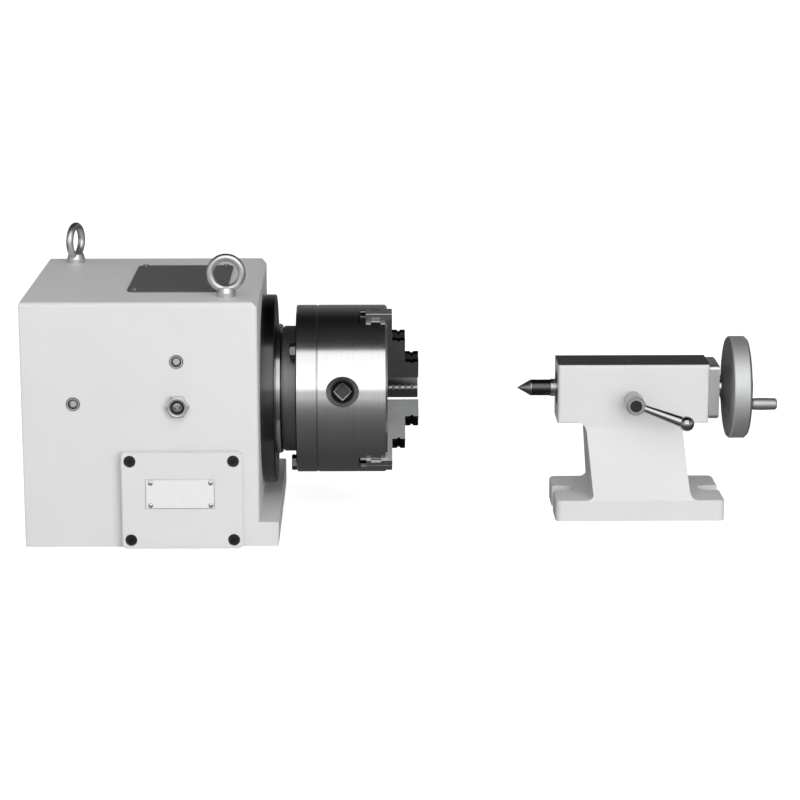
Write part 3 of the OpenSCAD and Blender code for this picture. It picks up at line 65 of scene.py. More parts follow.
# Key sockets, out from the spindle's axis: up to their floors, up to their mouths, and to the
# foot of the rubbed chamfer round them
SOCKET_FLOOR = 64 * MM
SOCKET_MOUTH = 73.6 * MM
CHAMFER_FOOT = 73.8 * MM
CHAMFER_DEPTH = 0.3 * MM
# Half the square's diagonal, at the chamfer's foot and at its mouth
FOOT_CORNER = 7.75 * MM
MOUTH_CORNER = 8.7 * MM
# First jaw's angle from the rear over the top, half its width and its sawn end
JAW_ANGLE = math.radians(110.25)
JAW_HALF = 9.9 * MM
JAW_END = 82 * MM
# Each grip's start, over the chuck's face and out from the axis
JAW_GRIPS = ((4.8 * MM, 54.4 * MM), (17.2 * MM, 30.6 * MM))
# Window of the sight glass
SIGHT_AT = middle_of("sight_glass")
LENS_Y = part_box("sight_lens")[0][1]
# Plugs: their faces, and how deep their sockets are
PLUG_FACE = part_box("filler_plugs")[0][1]
PLUG_DEPTH = 5 * MM
# Tailstock: the centre's dark shank, the barrel's ground top, the lever's hub and the wheel
SHANK_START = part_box("tail_centre")[0][0] + 14 * MM
SHANK_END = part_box("quill")[0][0] - 6.4 * MM
GROUND_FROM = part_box("tailstock_body")[1][2] - 0.4 * MM
LEVER_AT = middle_of("lever_cap")
LEVER_HUB = 9.6 * MM
WHEEL_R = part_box("handwheel")[1][2] - AXIS_Z
# Bare plate on the front cover, its bright edge and its raised face
PLATE_X = (COVER_LOW[0] + 22 * MM, COVER_LOW[0] + 84.7 * MM)
PLATE_Z = (COVER_LOW[2] + 37.8 * MM, COVER_LOW[2] + 65.3 * MM)
PLATE_T = 0.7 * MM
PLATE_EDGE = 0.35 * MM
PLATE_RISE = 0.15 * MM
RIVET_X = (PLATE_X[0] + 4.6 * MM, PLATE_X[1] - 3.4 * MM)
RIVET_Z = (PLATE_Z[0] + 3.2 * MM, PLATE_Z[1] - 3.2 * MM)
RIVET_R = 2.45 * MM


# Small helpers

def linear(code):
    """An sRGB hex colour as linear red, green, blue and alpha."""
    out = []
    for at in (1, 3, 5):
        value = int(code[at:at + 2], 16) / 255
        out.append(value / 12.92 if value <= 0.04045 else ((value + 0.055) / 1.055) ** 2.4)
    return (*out, 1.0)


def add_node(tree, kind, inputs=None, **settings):
    """A node with its settings; each input is a plain value or another node's output."""
    made = tree.nodes.new(kind)
    for key, value in settings.items():
        setattr(made, key, value)
    for key, value in (inputs or {}).items():
        if isinstance(value, bpy.types.NodeSocket):
            tree.links.new(value, made.inputs[key])
        else:
            made.inputs[key].default_value = value
    return made


def new_material(name, settings):
    """A material with one shader: itself, its node tree, its shader and the point on the piece."""
    made = bpy.data.materials.new(name)
    made.use_nodes = True
    tree = made.node_tree
    shader = tree.nodes["Principled BSDF"]
    for key, value in settings.items():
        shader.inputs[key].default_value = value
    # The point is in metres and the same in every view
    return made, tree, shader, add_node(tree, "ShaderNodeTexCoord").outputs["Object"]


def calculate(tree, operation, *values):
    """One sum on plain numbers and other nodes' results."""
    return add_node(tree, "ShaderNodeMath", dict(enumerate(values)), operation=operation).outputs[0]


def coordinate(tree, point, axis):
    """One coordinate of a point."""
    return add_node(tree, "ShaderNodeSeparateXYZ", {0: point}).outputs[axis]


def past(tree, value, edge):
    """One where a value is past an edge, else nought."""
    return calculate(tree, "GREATER_THAN", value, edge)


def short_of(tree, value, edge):
    """One where a value is short of an edge, else nought."""
    return calculate(tree, "LESS_THAN", value, edge)


def ramp(tree, value, start, end, first, last):
    """A number that runs from first to last while the value runs from start to end."""
    return add_node(tree, "ShaderNodeMapRange",
                    {0: value, 1: start, 2: end, 3: first, 4: last}).outputs[0]


def spread(tree, value, low, high):
    """A 0 to 1 value spread between two numbers."""
    return ramp(tree, value, 0, 1, low, high)


def grain(tree, point, size, detail=2.0):
    """Noise with lumps of one size in metres."""
    return add_node(tree, "ShaderNodeTexNoise",
                    {"Vector": point, "Scale": 1 / size, "Detail": detail}).outputs["Fac"]


def mix_colours(tree, share, first, second):
    """A colour between two, by a share from 0 to 1; each is a hex code or a node's output."""
    ends = [linear(colour) if isinstance(colour, str) else colour for colour in (first, second)]
    return add_node(tree, "ShaderNodeMix", {0: share, 6: ends[0], 7: ends[1]},
                    data_type="RGBA").outputs[2]


def mix_numbers(tree, share, first, second):
    """A number between two, by a share from 0 to 1."""
    return add_node(tree, "ShaderNodeMix", {0: share, 2: first, 3: second},
                    data_type="FLOAT").outputs[0]


def turned_point(tree, point, along=0, centre=SPINDLE_AXIS):
    """Place along a lathe axis and distance from it, so lines run round the piece."""
    squares = []
    for k in range(3):
        if k != along:
            off = calculate(tree, "SUBTRACT", coordinate(tree, point, k), centre[k])
            squares.append(calculate(tree, "MULTIPLY", off, off))
    away = calculate(tree, "SQRT", calculate(tree, "ADD", *squares))
    return add_node(tree, "ShaderNodeCombineXYZ",
                    {0: coordinate(tree, point, along), 1: away}).outputs[0]


def dress(tree, shader, colour, rough):
    """Gives a shader its colour and its roughness."""
    tree.links.new(colour, shader.inputs["Base Color"])
    tree.links.new(rough, shader.inputs["Roughness"])


def raise_surface(tree, shader, height, depth, strength):
    """Bump of a real depth in metres."""
    bump = add_node(tree, "ShaderNodeBump",
                    {"Height": height, "Distance": depth, "Strength": strength})
    tree.links.new(bump.outputs["Normal"], shader.inputs["Normal"])


# Materials

def cast_enamel(name, ground_from=None):
    """Grey-white two-pack enamel sprayed on a filled casting: soft gloss, faint orange peel."""
    made, tree, shader, point = new_material(name, {"IOR": 1.5})
    # Orange peel of 1.5 mm, and slow change of tone over 60 mm
    peel = grain(tree, point, 1.5 * MM)
    tone = grain(tree, point, 60 * MM)
    colour = mix_colours(tree, tone, "#DEDEDE", "#E5E5E5")
    rough = spread(tree, peel, 0.36, 0.48)
    if ground_from:
        # Above this height the casting is bare, with the grinder's scratches along it
        bare = past(tree, coordinate(tree, point, 2), ground_from)
        scratch = add_node(tree, "ShaderNodeMapping", {"Vector": point, "Scale": (0.04, 1, 1)})
        lines = grain(tree, scratch.outputs[0], 0.6 * MM, 3.0)
        steel = mix_colours(tree, lines, "#6E6F70", "#858687")
        colour = mix_colours(tree, bare, colour, steel)
        rough = mix_numbers(tree, bare, rough, spread(tree, lines, 0.42, 0.55))
        tree.links.new(bare, shader.inputs["Metallic"])
    dress(tree, shader, colour, rough)
    raise_surface(tree, shader, peel, 0.05 * MM, 0.25)
    return made


def lathe_metal(name, dark, light, rough, along=0, centre=SPINDLE_AXIS, pitch=0.7):
    """Steel or iron finished on a lathe: fine rings that smear each highlight across them."""
    made, tree, shader, point = new_material(name, {"Metallic": 1.0})
    rings = grain(tree, turned_point(tree, point, along, centre), pitch * MM, 3.0)
    both = calculate(tree, "MULTIPLY", rings, grain(tree, point, 35 * MM))
    dress(tree, shader, mix_colours(tree, rings, dark, light),
          spread(tree, both, rough * 0.8, rough * 1.4))
    raise_surface(tree, shader, rings, 0.02 * MM, 0.35)
    return made


def adapter_iron(name):
    """Cast iron plate: its rim turned bright with the chuck's, its boss left rough and coloured
    darker as painted shade.
    """
    made, tree, shader, point = new_material(name, {"Metallic": 1.0})
    rings = grain(tree, turned_point(tree, point), 0.7 * MM, 3.0)
    rim = past(tree, coordinate(tree, point, 0), PLATE_START)
    # Painted shade: the boss behind the rim is coloured darker, where shade falls on it
    dark = mix_colours(tree, rings, "#7E7F80", "#909192")
    bright = mix_colours(tree, rings, "#BDBEBF", "#D2D3D4")
    rough = mix_numbers(tree, rim, spread(tree, rings, 0.46, 0.58), spread(tree, rings, 0.14, 0.22))
    dress(tree, shader, mix_colours(tree, rim, dark, bright), rough)
    raise_surface(tree, shader, rings, 0.02 * MM, 0.35)
    return made


def two_steels(name):
    """Black oxide on the screws near the spindle's axis, dull zinc plate on the bolts outside."""
    made, tree, shader, point = new_material(name, {"Metallic": 1.0})
    plated = past(tree, coordinate(tree, turned_point(tree, point), 1), PLATED_FROM)
    fine = grain(tree, point, 0.8 * MM, 3.0)
    dress(tree, shader, mix_colours(tree, plated, "#232426", "#6C6E70"),
          spread(tree, fine, 0.26, 0.42))
    raise_surface(tree, shader, fine, 0.02 * MM, 0.3)
    return made


def centre_steel(name):
    """Hardened steel: a ground cone and collar, and a shank still dark from the furnace."""
    made, tree, shader, point = new_material(name, {"Metallic": 1.0})
    rings = grain(tree, turned_point(tree, point), 0.5 * MM, 3.0)
    x = coordinate(tree, point, 0)
    shank = calculate(tree, "MULTIPLY", past(tree, x, SHANK_START), short_of(tree, x, SHANK_END))
    bright = mix_colours(tree, rings, "#A4A5A6", "#B4B5B6")
    dark = mix_colours(tree, rings, "#4C4D4E", "#5C5D5E")
    dress(tree, shader, mix_colours(tree, shank, bright, dark), spread(tree, rings, 0.25, 0.29))
    raise_surface(tree, shader, rings, 0.003 * MM, 0.1)
    return made


def chuck_steel(name):
    """Fine turned steel, with the key holes' mouths left rough from the drill."""
    made, tree, shader, point = new_material(name, {"Metallic": 1.0})
    turned = turned_point(tree, point)
    rings = grain(tree, turned, 0.7 * MM, 3.0)
    near = calculate(tree, "COMPARE", coordinate(tree, turned, 0), PINION_X, MOUTH_REACH)
    sunk = short_of(tree, coordinate(tree, turned, 1), CHUCK_R - 0.3 * MM)
    mouth = calculate(tree, "MULTIPLY", near, sunk)
    bright = mix_colours(tree, rings, "#C2C3C4", "#D6D7D8")
    dull = mix_colours(tree, rings, "#98999A", "#A8A9AA")
    rough = mix_numbers(tree, mouth, spread(tree, rings, 0.13, 0.22), spread(tree, rings, 0.4, 0.5))
    dress(tree, shader, mix_colours(tree, mouth, bright, dull), rough)
    raise_surface(tree, shader, rings, 0.02 * MM, 0.35)
    return made


def jaw_steel(name, turned_by):
    """Ground jaw: the grips on the steps' ends are painted black as painted shade, the outer end is
    left sawn and dull.
    """
    made, tree, shader, point = new_material(name, {"Metallic": 1.0})
    turned = turned_point(tree, point)
    x, away = [coordinate(tree, turned, k) for k in (0, 1)]
    # Only the ends get the painted shade and the sawn finish, and not the ground sides beside them
    across = (0, -math.sin(turned_by), math.cos(turned_by))
    sideways = add_node(tree, "ShaderNodeVectorMath", {0: point, 1: across},
                        operation="DOT_PRODUCT").outputs["Value"]
    on_end = calculate(tree, "COMPARE", sideways, AXIS_Z * math.cos(turned_by), JAW_HALF)
    # Painted shade: the steps' end faces are coloured black where they lie in shade
    shaded_step_ends = [calculate(tree, "MULTIPLY", past(tree, x, CHUCK_FACE + height), past(tree, away, reach))
             for height, reach in JAW_GRIPS]
    painted_shade_on_steps = calculate(tree, "MULTIPLY", calculate(tree, "MAXIMUM", *shaded_step_ends), on_end)
    sawn = calculate(tree, "MULTIPLY", past(tree, away, JAW_END), on_end)
    fine = grain(tree, point, 0.8 * MM, 4.0)
    cloud = grain(tree, point, 18 * MM)
    ground = mix_colours(tree, cloud, "#929394", "#A6A7A8")
    dull = mix_colours(tree, cloud, "#C4C5C6", "#D0D1D2")
    black = mix_colours(tree, cloud, "#161718", "#202122")
    colour = mix_colours(tree, painted_shade_on_steps, mix_colours(tree, sawn, ground, dull), black)
    rough = mix_numbers(tree, sawn, spread(tree, fine, 0.22, 0.36), spread(tree, fine, 0.5, 0.6))
    dress(tree, shader, colour, rough)
    raise_surface(tree, shader, fine, 0.02 * MM, 0.3)
    return made


def pinion_steel(name):
    """Blackened key pinions; the broached walls of the square socket are rubbed bright by the key."""
    made, tree, shader, point = new_material(name, {"Metallic": 1.0})
    away = coordinate(tree, turned_point(tree, point), 1)
    fine = grain(tree, point, 0.8 * MM, 4.0)
    bright = mix_colours(tree, fine, "#C2C3C4", "#CECFD0")
    dull = mix_colours(tree, fine, "#434445", "#4D4E4F")
    black = mix_colours(tree, fine, "#202122", "#2A2B2C")
    inside = mix_colours(tree, short_of(tree, away, SOCKET_FLOOR), bright, dull)
    dress(tree, shader, mix_colours(tree, past(tree, away, SOCKET_MOUTH), inside, black),
          spread(tree, fine, 0.3, 0.44))
    raise_surface(tree, shader, fine, 0.02 * MM, 0.3)
    return made


def lever_steel(name):
    """Polished clamp lever: the arm and ball bright, the turned hub satin and coloured lighter as a
    painted highlight.
    """
    made, tree, shader, point = new_material(name, {"Metallic": 1.0})
    hub = short_of(tree, coordinate(tree, turned_point(tree, point, 1, LEVER_AT), 1), LEVER_HUB)
    fine = grain(tree, point, 1.2 * MM, 3.0)
    bright = mix_colours(tree, fine, "#A6A8AA", "#B2B4B6")
    # Painted highlight: the hub is coloured lighter than the arm, besides being rougher
    satin_with_painted_highlight = mix_colours(tree, fine, "#C2C3C4", "#CECFD0")
    rough = mix_numbers(tree, hub, spread(tree, fine, 0.09, 0.14), spread(tree, fine, 0.4, 0.5))
    dress(tree, shader, mix_colours(tree, hub, bright, satin_with_painted_highlight), rough)
    return made


def wheel_aluminium(name):
    """Cast aluminium handwheel: the rim turned bright, the web and hub coloured darker as painted
    shade.
    """
    made, tree, shader, point = new_material(name, {"Metallic": 1.0})
    turned = turned_point(tree, point)
    rim = past(tree, coordinate(tree, turned, 1), WHEEL_R - 0.7 * MM)
    rings = grain(tree, turned, 1.0 * MM, 3.0)
    # Painted shade: the web and hub are coloured darker than the turned rim
    dull = mix_colours(tree, grain(tree, point, 0.9 * MM, 3.0), "#A2A3A4", "#AEAFB0")
    bright = mix_colours(tree, rings, "#E4E5E6", "#F2F3F4")
    dress(tree, shader, mix_colours(tree, rim, dull, bright), spread(tree, rings, 0.58, 0.74))
    raise_surface(tree, shader, rings, 0.02 * MM, 0.3)
    return made


def plug_steel(name):
    """Zinc plated plug: a pale face, edges and socket walls painted dark as painted shade, and a
    socket floor painted bright as a painted highlight.
    """
    made, tree, shader, point = new_material(name, {"Metallic": 1.0})
    y = coordinate(tree, point, 1)
    face = short_of(tree, y, PLUG_FACE + 0.05 * MM)
    floor = past(tree, y, PLUG_FACE + PLUG_DEPTH - 0.1 * MM)
    fine = grain(tree, point, 1.0 * MM, 4.0)
    # Painted shade on the edges and socket walls, and a painted highlight on the socket floor
    dark = mix_colours(tree, fine, "#4A4B4C", "#565758")
    bright = mix_colours(tree, fine, "#EEF0F1", "#F6F7F8")
    pale = mix_colours(tree, fine, "#DCDEE0", "#EAECEE")
    dress(tree, shader, mix_colours(tree, face, mix_colours(tree, floor, dark, bright), pale),
          spread(tree, fine, 0.32, 0.54))
    raise_surface(tree, shader, fine, 0.02 * MM, 0.3)
    return made


def plain_metal(name, dark, light, rough, size=2.0, depth=0.02):
    """Plated, ground or blackened metal with a fine even grain."""
    made, tree, shader, point = new_material(name, {"Metallic": 1.0})
    fine = grain(tree, point, size * MM, 4.0)
    cloud = grain(tree, point, 18 * MM)
    dress(tree, shader, mix_colours(tree, cloud, dark, light),
          spread(tree, fine, rough * 0.75, rough * 1.3))
    raise_surface(tree, shader, fine, depth * MM, 0.3)
    return made


def moulded(name, dark, light, rough):
    """Paint, plastic or rubber with a fine moulded or sprayed texture."""
    made, tree, shader, point = new_material(name, {"IOR": 1.5})
    fine = grain(tree, point, 0.6 * MM, 3.0)
    cloud = grain(tree, point, 25 * MM)
    dress(tree, shader, mix_colours(tree, cloud, dark, light),
          spread(tree, fine, rough * 0.85, rough * 1.2))
    raise_surface(tree, shader, fine, 0.03 * MM, 0.3)
    return made


finish = {
    "enamel": cast_enamel("sprayed_enamel"),
    "tail_enamel": cast_enamel("enamel_with_ground_top", GROUND_FROM),
    "plate_paint": moulded("matt_dark_plate_paint", "#58595A", "#606162", 0.5),
    "blackened_flange": lathe_metal("blackened_turned_steel", "#434445", "#535455", 0.2),
    "black_screw": moulded("oiled_black_oxide_screw", "#202123", "#2A2B2D", 0.3),
    "nose": lathe_metal("turned_nose_steel", "#A2A3A4", "#B4B5B6", 0.2),
    "pinion_steel": pinion_steel("blackened_pinion_steel"),
    "socket_edge": plain_metal("steel_rubbed_by_the_key", "#8E8F90", "#9A9B9C", 0.26, 1.0),
    "m8_screws": two_steels("black_and_plated_m8_screws"),
    "hard_centre": centre_steel("hardened_centre_steel"),
    "zinc": plain_metal("zinc_plated_forging", "#C4C6C7", "#DFE0E1", 0.34, 1.6, 0.08),
    "chuck": chuck_steel("turned_chuck_steel"),
    "turned": lathe_metal("fine_turned_steel", "#C2C3C4", "#D6D7D8", 0.17),
    "adapter": adapter_iron("turned_cast_iron_plate"),
    "iron": lathe_metal("turned_cast_iron", "#4A4B4C", "#636466", 0.36),
    "ground": plain_metal("ground_hardened_steel", "#88898B", "#9EA0A2", 0.28, 0.8),
    "bronze": plain_metal("hobbed_tin_bronze", "#A9752E", "#C18D45", 0.3),
    "brushed": lathe_metal("brushed_aluminium", "#C2C3C4", "#D6D7D8", 0.55, pitch=1.0),
    "wheel": wheel_aluminium("cast_aluminium_with_turned_rim"),
    "lever_chrome": lever_steel("polished_lever_with_satin_hub"),
    "rubber": moulded("nitrile_rubber", "#161617", "#1E1E1F", 0.6),
    "plastic": moulded("black_moulded_nylon", "#1D1D1F", "#262628", 0.45),
    "milled": plain_metal("milled_aluminium", "#D6D7D8", "#E2E3E4", 0.4, 1.0),
    "oiler_nickel": plain_metal("nickel_plated_oiler", "#77787A", "#8C8D8F", 0.3),
    "worm_steel": lathe_metal("ground_worm_steel", "#9A9C9E", "#B5B7B9", 0.25, 1, WORM_AT),
    "sight_zinc": lathe_metal("turned_zinc_plate", "#D6D8D9", "#E8E9EA", 0.45, 1, SIGHT_AT),
    "plug_zinc": plug_steel("zinc_plated_plug"),
    "float_disc": plain_metal("dull_float_disc", "#A2A4A6", "#B2B4B6", 0.42, 1.0),
    "lens": moulded("clear_window_over_dark_oil", "#2E3032", "#3C3E40", 0.08),
}
for k in range(3):
    finish[f"jaw_{k + 1}"] = jaw_steel(f"ground_jaw_steel_{k + 1}", JAW_ANGLE + math.radians(120 * k))

node_finish = {
    "housing": "enamel", "front_cover": "enamel", "rear_cover": "enamel",
    "top_plate": "plate_paint", "motor_body": "plate_paint",
    "bearing_flange": "blackened_flange", "spindle_nut": "blackened_flange",
    "cap_screws_m6": "black_screw", "cap_screws_m8": "m8_screws", "motor_screws": "black_screw",
    "end_plate_screws": "black_screw",
    "cover_screws_m4": "zinc", "eye_bolts": "zinc", "wheel_nut": "zinc",
    "sight_glass": "sight_zinc", "filler_plugs": "plug_zinc",
    "spindle": "nose", "chuck_body": "chuck", "through_tube": "turned",
    "front_bearing_outer": "turned", "rear_bearing_outer": "turned",
    "front_bearing_inner": "turned", "rear_bearing_inner": "turned",
    "adapter_plate": "adapter", "chuck_back_cover": "iron",
    "quill": "turned", "tail_centre": "hard_centre", "lead_screw": "turned", "handle_pin": "turned",
    "scroll": "ground", "jaw_1": "jaw_1", "jaw_2": "jaw_2", "jaw_3": "jaw_3",
    "wheel_key": "ground", "quill_key": "ground",
    "pinion_1": "pinion_steel", "pinion_2": "pinion_steel", "pinion_3": "pinion_steel",
    "worm_wheel": "bronze", "side_cap": "brushed", "worm_end_cap": "brushed",
    "motor_pulley": "brushed", "worm_pulley": "brushed",
    "worm_shaft": "worm_steel", "motor_shaft": "worm_steel", "clamp_stud": "ground",
    "worm_bearings_outer": "worm_steel", "worm_bearings_inner": "worm_steel",
    "drive_belt": "rubber", "oil_seal": "rubber", "quill_seal": "rubber",
    "cable_gland": "plastic", "lever_cap": "plastic", "sight_lens": "lens",
    "tailstock_body": "tail_enamel", "end_plate": "milled", "handwheel": "wheel",
    "handle": "brushed", "clamp_lever": "lever_chrome", "oiler": "oiler_nickel",
}
for node_name, made_of in node_finish.items():
    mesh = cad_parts[node_name].data
    mesh.materials.clear()
    mesh.materials.append(finish[made_of])


# Camera, floor and light

def place_camera():
    """The photograph's camera, fitted to the edges of the real object."""
    lens = bpy.data.cameras.new("photo_camera")
    lens.sensor_fit = "HORIZONTAL"
    lens.sensor_width = 36
    lens.lens = 115.4
    lens.clip_start = 0.05
    lens.clip_end = 50
    camera = bpy.data.objects.new("photo_camera", lens)
    camera.location = (0.20509, -2.40461, 0.64864)
    camera.rotation_euler = (math.radians(77.33), 0, math.radians(-0.79))
    bpy.context.scene.collection.objects.link(camera)
    bpy.context.scene.camera = camera


def ray_kinds(tree):
    """One for a ray in a mirror finish, and one for a ray from the camera or through glass."""
    path = add_node(tree, "ShaderNodeLightPath").outputs
    seen = calculate(tree, "MAXIMUM", path["Is Camera Ray"], path["Is Transmission Ray"])
    return path["Is Glossy Ray"], seen


def light_world():
    """White where the camera sees it, a soft grey room for gloss, and a little light all round."""
    world = bpy.data.worlds.new("studio")
    world.use_nodes = True
    bpy.context.scene.world = world
    tree = world.node_tree
    glossy, seen = ray_kinds(tree)
    direction = add_node(tree, "ShaderNodeTexCoord").outputs["Generated"]
    # Pale paper at the horizon, a dark ceiling, and a darker room behind the object
    room = ramp(tree, coordinate(tree, direction, 2), 0.1, 0.8, 0.8, 0.05)
    behind = ramp(tree, coordinate(tree, direction, 1), -0.3, 0.4, 1.0, 0.25)
    level = calculate(tree, "MULTIPLY", room, behind)
    # Matt surfaces get one even light, and gloss sees the room
    light = mix_colours(tree, glossy, (0.17, 0.17, 0.17, 1), level)
    colour = mix_colours(tree, seen, light, (1, 1, 1, 1))
    tree.links.new(colour, tree.nodes["Background"].inputs["Color"])


def lay_floor():
    """A pale floor that keeps the shadow and reads as white paper."""
    # It lies just under the feet, so that no two faces share a place
    bpy.ops.mesh.primitive_plane_add(size=30, location=(0, 0, -0.3 * MM))
    floor = bpy.context.object
    floor.name = "floor"
    made, tree, shader, point = new_material("white_paper",
                                             {"Roughness": 0.9, "Specular IOR Level": 0.0})
    shader.inputs["Base Color"].default_value = linear("#F2F2F2")
    glossy, seen = ray_kinds(tree)
    # The paper brightens away from the object, where no lamp reaches
    away = add_node(tree, "ShaderNodeVectorMath", {0: point}, operation="LENGTH").outputs["Value"]
    glow = add_node(tree, "ShaderNodeEmission", {"Strength": ramp(tree, away, 0.8, 3.0, 0.78, 1.0)})
    lit = add_node(tree, "ShaderNodeAddShader", {0: shader.outputs[0], 1: glow.outputs[0]})
    # In metal the paper darkens towards the object: a painted shadow, glowing only in reflections
    y = coordinate(tree, point, 1)
    reflected_painted_shadow = calculate(tree, "ADD", ramp(tree, y, -0.75, -0.05, 0.44, 0.075),
                     ramp(tree, y, -3.0, -0.7, 0.45, 0.0))
    dim = add_node(tree, "ShaderNodeEmission", {"Strength": reflected_painted_shadow})
    gloss = add_node(tree, "ShaderNodeMixShader",
                     {0: glossy, 1: shader.outputs[0], 2: dim.outputs[0]})
    last = add_node(tree, "ShaderNodeMixShader", {0: seen, 1: gloss.outputs[0], 2: lit.outputs[0]})
    tree.links.new(last.outputs[0], tree.nodes["Material Output"].inputs["Surface"])
    floor.data.materials.append(made)


def soft_light(name, place, aim, width, height, power, in_gloss=True):
    """One soft box, turned to its aim."""
    data = bpy.data.lights.new(name, "AREA")
    data.shape = "RECTANGLE"
    data.size = width
    data.size_y = height
    data.energy = power
    lamp = bpy.data.objects.new(name, data)
    lamp.location = place
    lamp.rotation_euler = (Vector(aim) - Vector(place)).to_track_quat("-Z", "Y").to_euler()
    lamp.visible_camera = False
    lamp.visible_glossy = in_gloss
    bpy.context.scene.collection.objects.link(lamp)


bpy.context.scene.view_settings.view_transform = "Standard"
place_camera()
light_world()
lay_floor()
# The soft boxes aim near the face of the chuck, about the middle of the two units
MIDDLE = (0.22, 0, 0.12)
soft_light("key_box", (0.35, -1.6, 1.34), MIDDLE, 2.4, 2.05, 24)
soft_light("front_fill", (1.2, -2.0, 0.5), (0.3, 0, 0.12), 1.4, 1.0, 15, in_gloss=False)
soft_light("top_box", (0.2, 0.1, 2.1), MIDDLE, 1.6, 1.2, 4, in_gloss=False)
soft_light("left_box", (-1.9, 0.2, 0.9), MIDDLE, 1.2, 1.2, 9, in_gloss=False)


# Pieces that only the scene has

def finish_piece(piece, name, material, body):
    """Applies the place, so that the object sits at the origin, and rides it on its body."""
    piece.name = name
    bpy.ops.object.select_all(action="DESELECT")
    piece.select_set(True)
    bpy.context.view_layer.objects.active = piece
    bpy.ops.object.transform_apply(location=True, rotation=True, scale=True)
    bpy.ops.object.shade_smooth_by_angle(angle=math.radians(35))
    if material:
        piece.data.materials.append(material)
    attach(piece, body)


def printed_white():
    """White print on the plate: hard and a little glossy."""
    made, tree, shader, point = new_material("white_printed_plate", {"Roughness": 0.3})
    tone = grain(tree, point, 15 * MM)
    tree.links.new(mix_colours(tree, tone, "#E9E9E9", "#EFEFEF"), shader.inputs["Base Color"])
    return made


def bare_plate():
    """The bare white plate on the belt cover: a bright metal edge round a raised white face."""
    bpy.ops.object.select_all(action="DESELECT")
    middle = (sum(PLATE_X) / 2, COVER_Y - PLATE_T / 2, sum(PLATE_Z) / 2)
    bpy.ops.mesh.primitive_cube_add(size=1, location=middle)
    plate = bpy.context.object
    plate.dimensions = (PLATE_X[1] - PLATE_X[0], PLATE_T, PLATE_Z[1] - PLATE_Z[0])
    bpy.ops.object.transform_apply(location=False, rotation=False, scale=True)
    plate.data.materials.append(finish["milled"])
    plate.data.materials.append(printed_white())
    bpy.ops.object.mode_set(mode="EDIT")
    bpy.ops.mesh.select_mode(type="FACE")
    bpy.ops.mesh.select_all(action="DESELECT")
    bpy.ops.object.mode_set(mode="OBJECT")
    for face in plate.data.polygons:
        face.select = face.normal.y < -0.9
    bpy.ops.object.mode_set(mode="EDIT")
    bpy.ops.mesh.inset(thickness=PLATE_EDGE, depth=0)
    bpy.ops.mesh.inset(thickness=PLATE_RISE, depth=PLATE_RISE)
    plate.active_material_index = 1
    bpy.ops.object.material_slot_assign()
    bpy.ops.object.mode_set(mode="OBJECT")
    corners = plate.modifiers.new("corners", "BEVEL")
    corners.width = 0.2 * MM
    corners.segments = 2
    corners.angle_limit = math.radians(60)
    bpy.ops.object.modifier_apply(modifier="corners")
    finish_piece(plate, "bare_plate", None, "headstock")


def plate_rivets():
    """Four dome rivets at the corners of the plate."""
    for column, x in enumerate(RIVET_X):
        for row, z in enumerate(RIVET_Z):
            seat = (x, COVER_Y - PLATE_T, z)
            bpy.ops.object.select_all(action="DESELECT")
            bpy.ops.mesh.primitive_uv_sphere_add(segments=24, ring_count=12, radius=RIVET_R,
                                                 location=seat)
            rivet = bpy.context.object
            bpy.ops.object.mode_set(mode="EDIT")
            bpy.ops.mesh.select_all(action="SELECT")
            bpy.ops.mesh.bisect(plane_co=seat, plane_no=(0, 1, 0), use_fill=True, clear_outer=True)
            bpy.ops.object.mode_set(mode="OBJECT")
            rivet.scale = (1, 0.55, 1)
            finish_piece(rivet, f"plate_rivet_{column}{row}", finish["sight_zinc"], "headstock")


def key_socket_edges():
    """The chamfer round each key pinion's square socket, rubbed bright by the key."""
    reach = CHAMFER_FOOT + CHAMFER_DEPTH / 2
    for number in (1, 2, 3):
        # Each pinion sits between two jaws
        angle = JAW_ANGLE + math.radians(120 * number - 60)
        place = (PINION_X, reach * math.cos(angle), AXIS_Z + reach * math.sin(angle))
        bpy.ops.object.select_all(action="DESELECT")
        bpy.ops.mesh.primitive_cone_add(vertices=4, radius1=FOOT_CORNER, radius2=MOUTH_CORNER,
                                        depth=CHAMFER_DEPTH, end_fill_type="NOTHING",
                                        rotation=(angle - math.pi / 2, 0, 0), location=place)
        edge = bpy.context.object
        shell = edge.modifiers.new("shell", "SOLIDIFY")
        shell.thickness = 0.1 * MM
        bpy.ops.object.modifier_apply(modifier="shell")
        finish_piece(edge, f"key_socket_edge_{number}", finish["socket_edge"],
                     f"pinion_{number}")


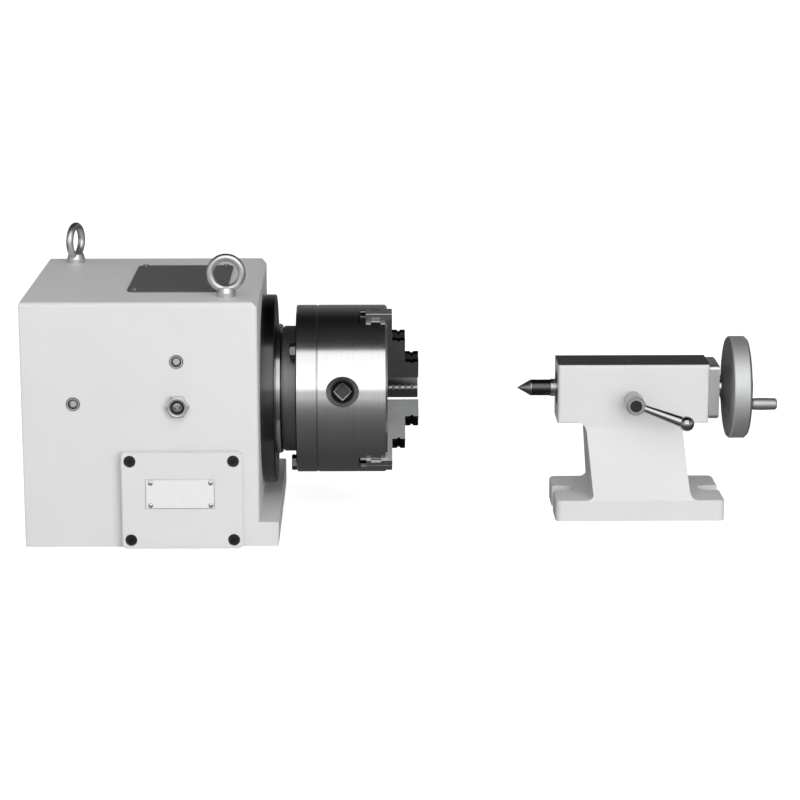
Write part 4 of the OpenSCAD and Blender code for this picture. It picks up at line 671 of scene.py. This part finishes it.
def sight_round(name, around, section, radius, thickness, ahead, made_of):
    """A round ring on the window's axis, its middle this far ahead of the window's face."""
    bpy.ops.object.select_all(action="DESELECT")
    bpy.ops.mesh.primitive_torus_add(major_segments=around, minor_segments=section,
                                     major_radius=radius * MM, minor_radius=thickness * MM,
                                     rotation=(math.pi / 2, 0, 0),
                                     location=(SIGHT_AT[0], LENS_Y - ahead * MM, SIGHT_AT[2]))
    finish_piece(bpy.context.object, name, finish[made_of], "headstock")


def sight_disc():
    """The float disc in the window, dull grey with two slots through it."""
    bpy.ops.object.select_all(action="DESELECT")
    bpy.ops.mesh.primitive_cylinder_add(vertices=40, radius=4.1 * MM, depth=0.5 * MM,
                                        rotation=(math.pi / 2, 0, 0),
                                        location=(SIGHT_AT[0], LENS_Y - 0.1 * MM, SIGHT_AT[2]))
    disc = bpy.context.object
    rim = disc.modifiers.new("rim", "BEVEL")
    rim.width = 0.12 * MM
    rim.segments = 2
    bpy.ops.object.modifier_apply(modifier="rim")
    # Each slot's place across and up from the disc's middle, its length and its lean
    for across, up, length, lean in ((-2.3, -0.6, 2.8, -40), (2.6, 0.2, 3.2, 8)):
        place = (SIGHT_AT[0] + across * MM, LENS_Y - 0.1 * MM, SIGHT_AT[2] + up * MM)
        bpy.ops.object.select_all(action="DESELECT")
        bpy.ops.mesh.primitive_cube_add(size=1, location=place)
        cutter = bpy.context.object
        cutter.rotation_euler = (0, math.radians(lean), 0)
        cutter.scale = (1.2 * MM, 1.2 * MM, length * MM)
        bpy.context.view_layer.objects.active = disc
        slot = disc.modifiers.new("slot", "BOOLEAN")
        slot.object = cutter
        bpy.ops.object.modifier_apply(modifier="slot")
        bpy.data.objects.remove(cutter)
    finish_piece(disc, "sight_disc", finish["float_disc"], "headstock")


bare_plate()
plate_rivets()
key_socket_edges()
# Black rubber holds the window, and a turned collar lies before the sight glass's hexagon
sight_round("sight_ring", 48, 16, 5.45, 1.0, -0.35, "rubber")
sight_round("sight_collar", 64, 20, 8.25, 1.2, 0.55, "sight_zinc")
sight_disc()
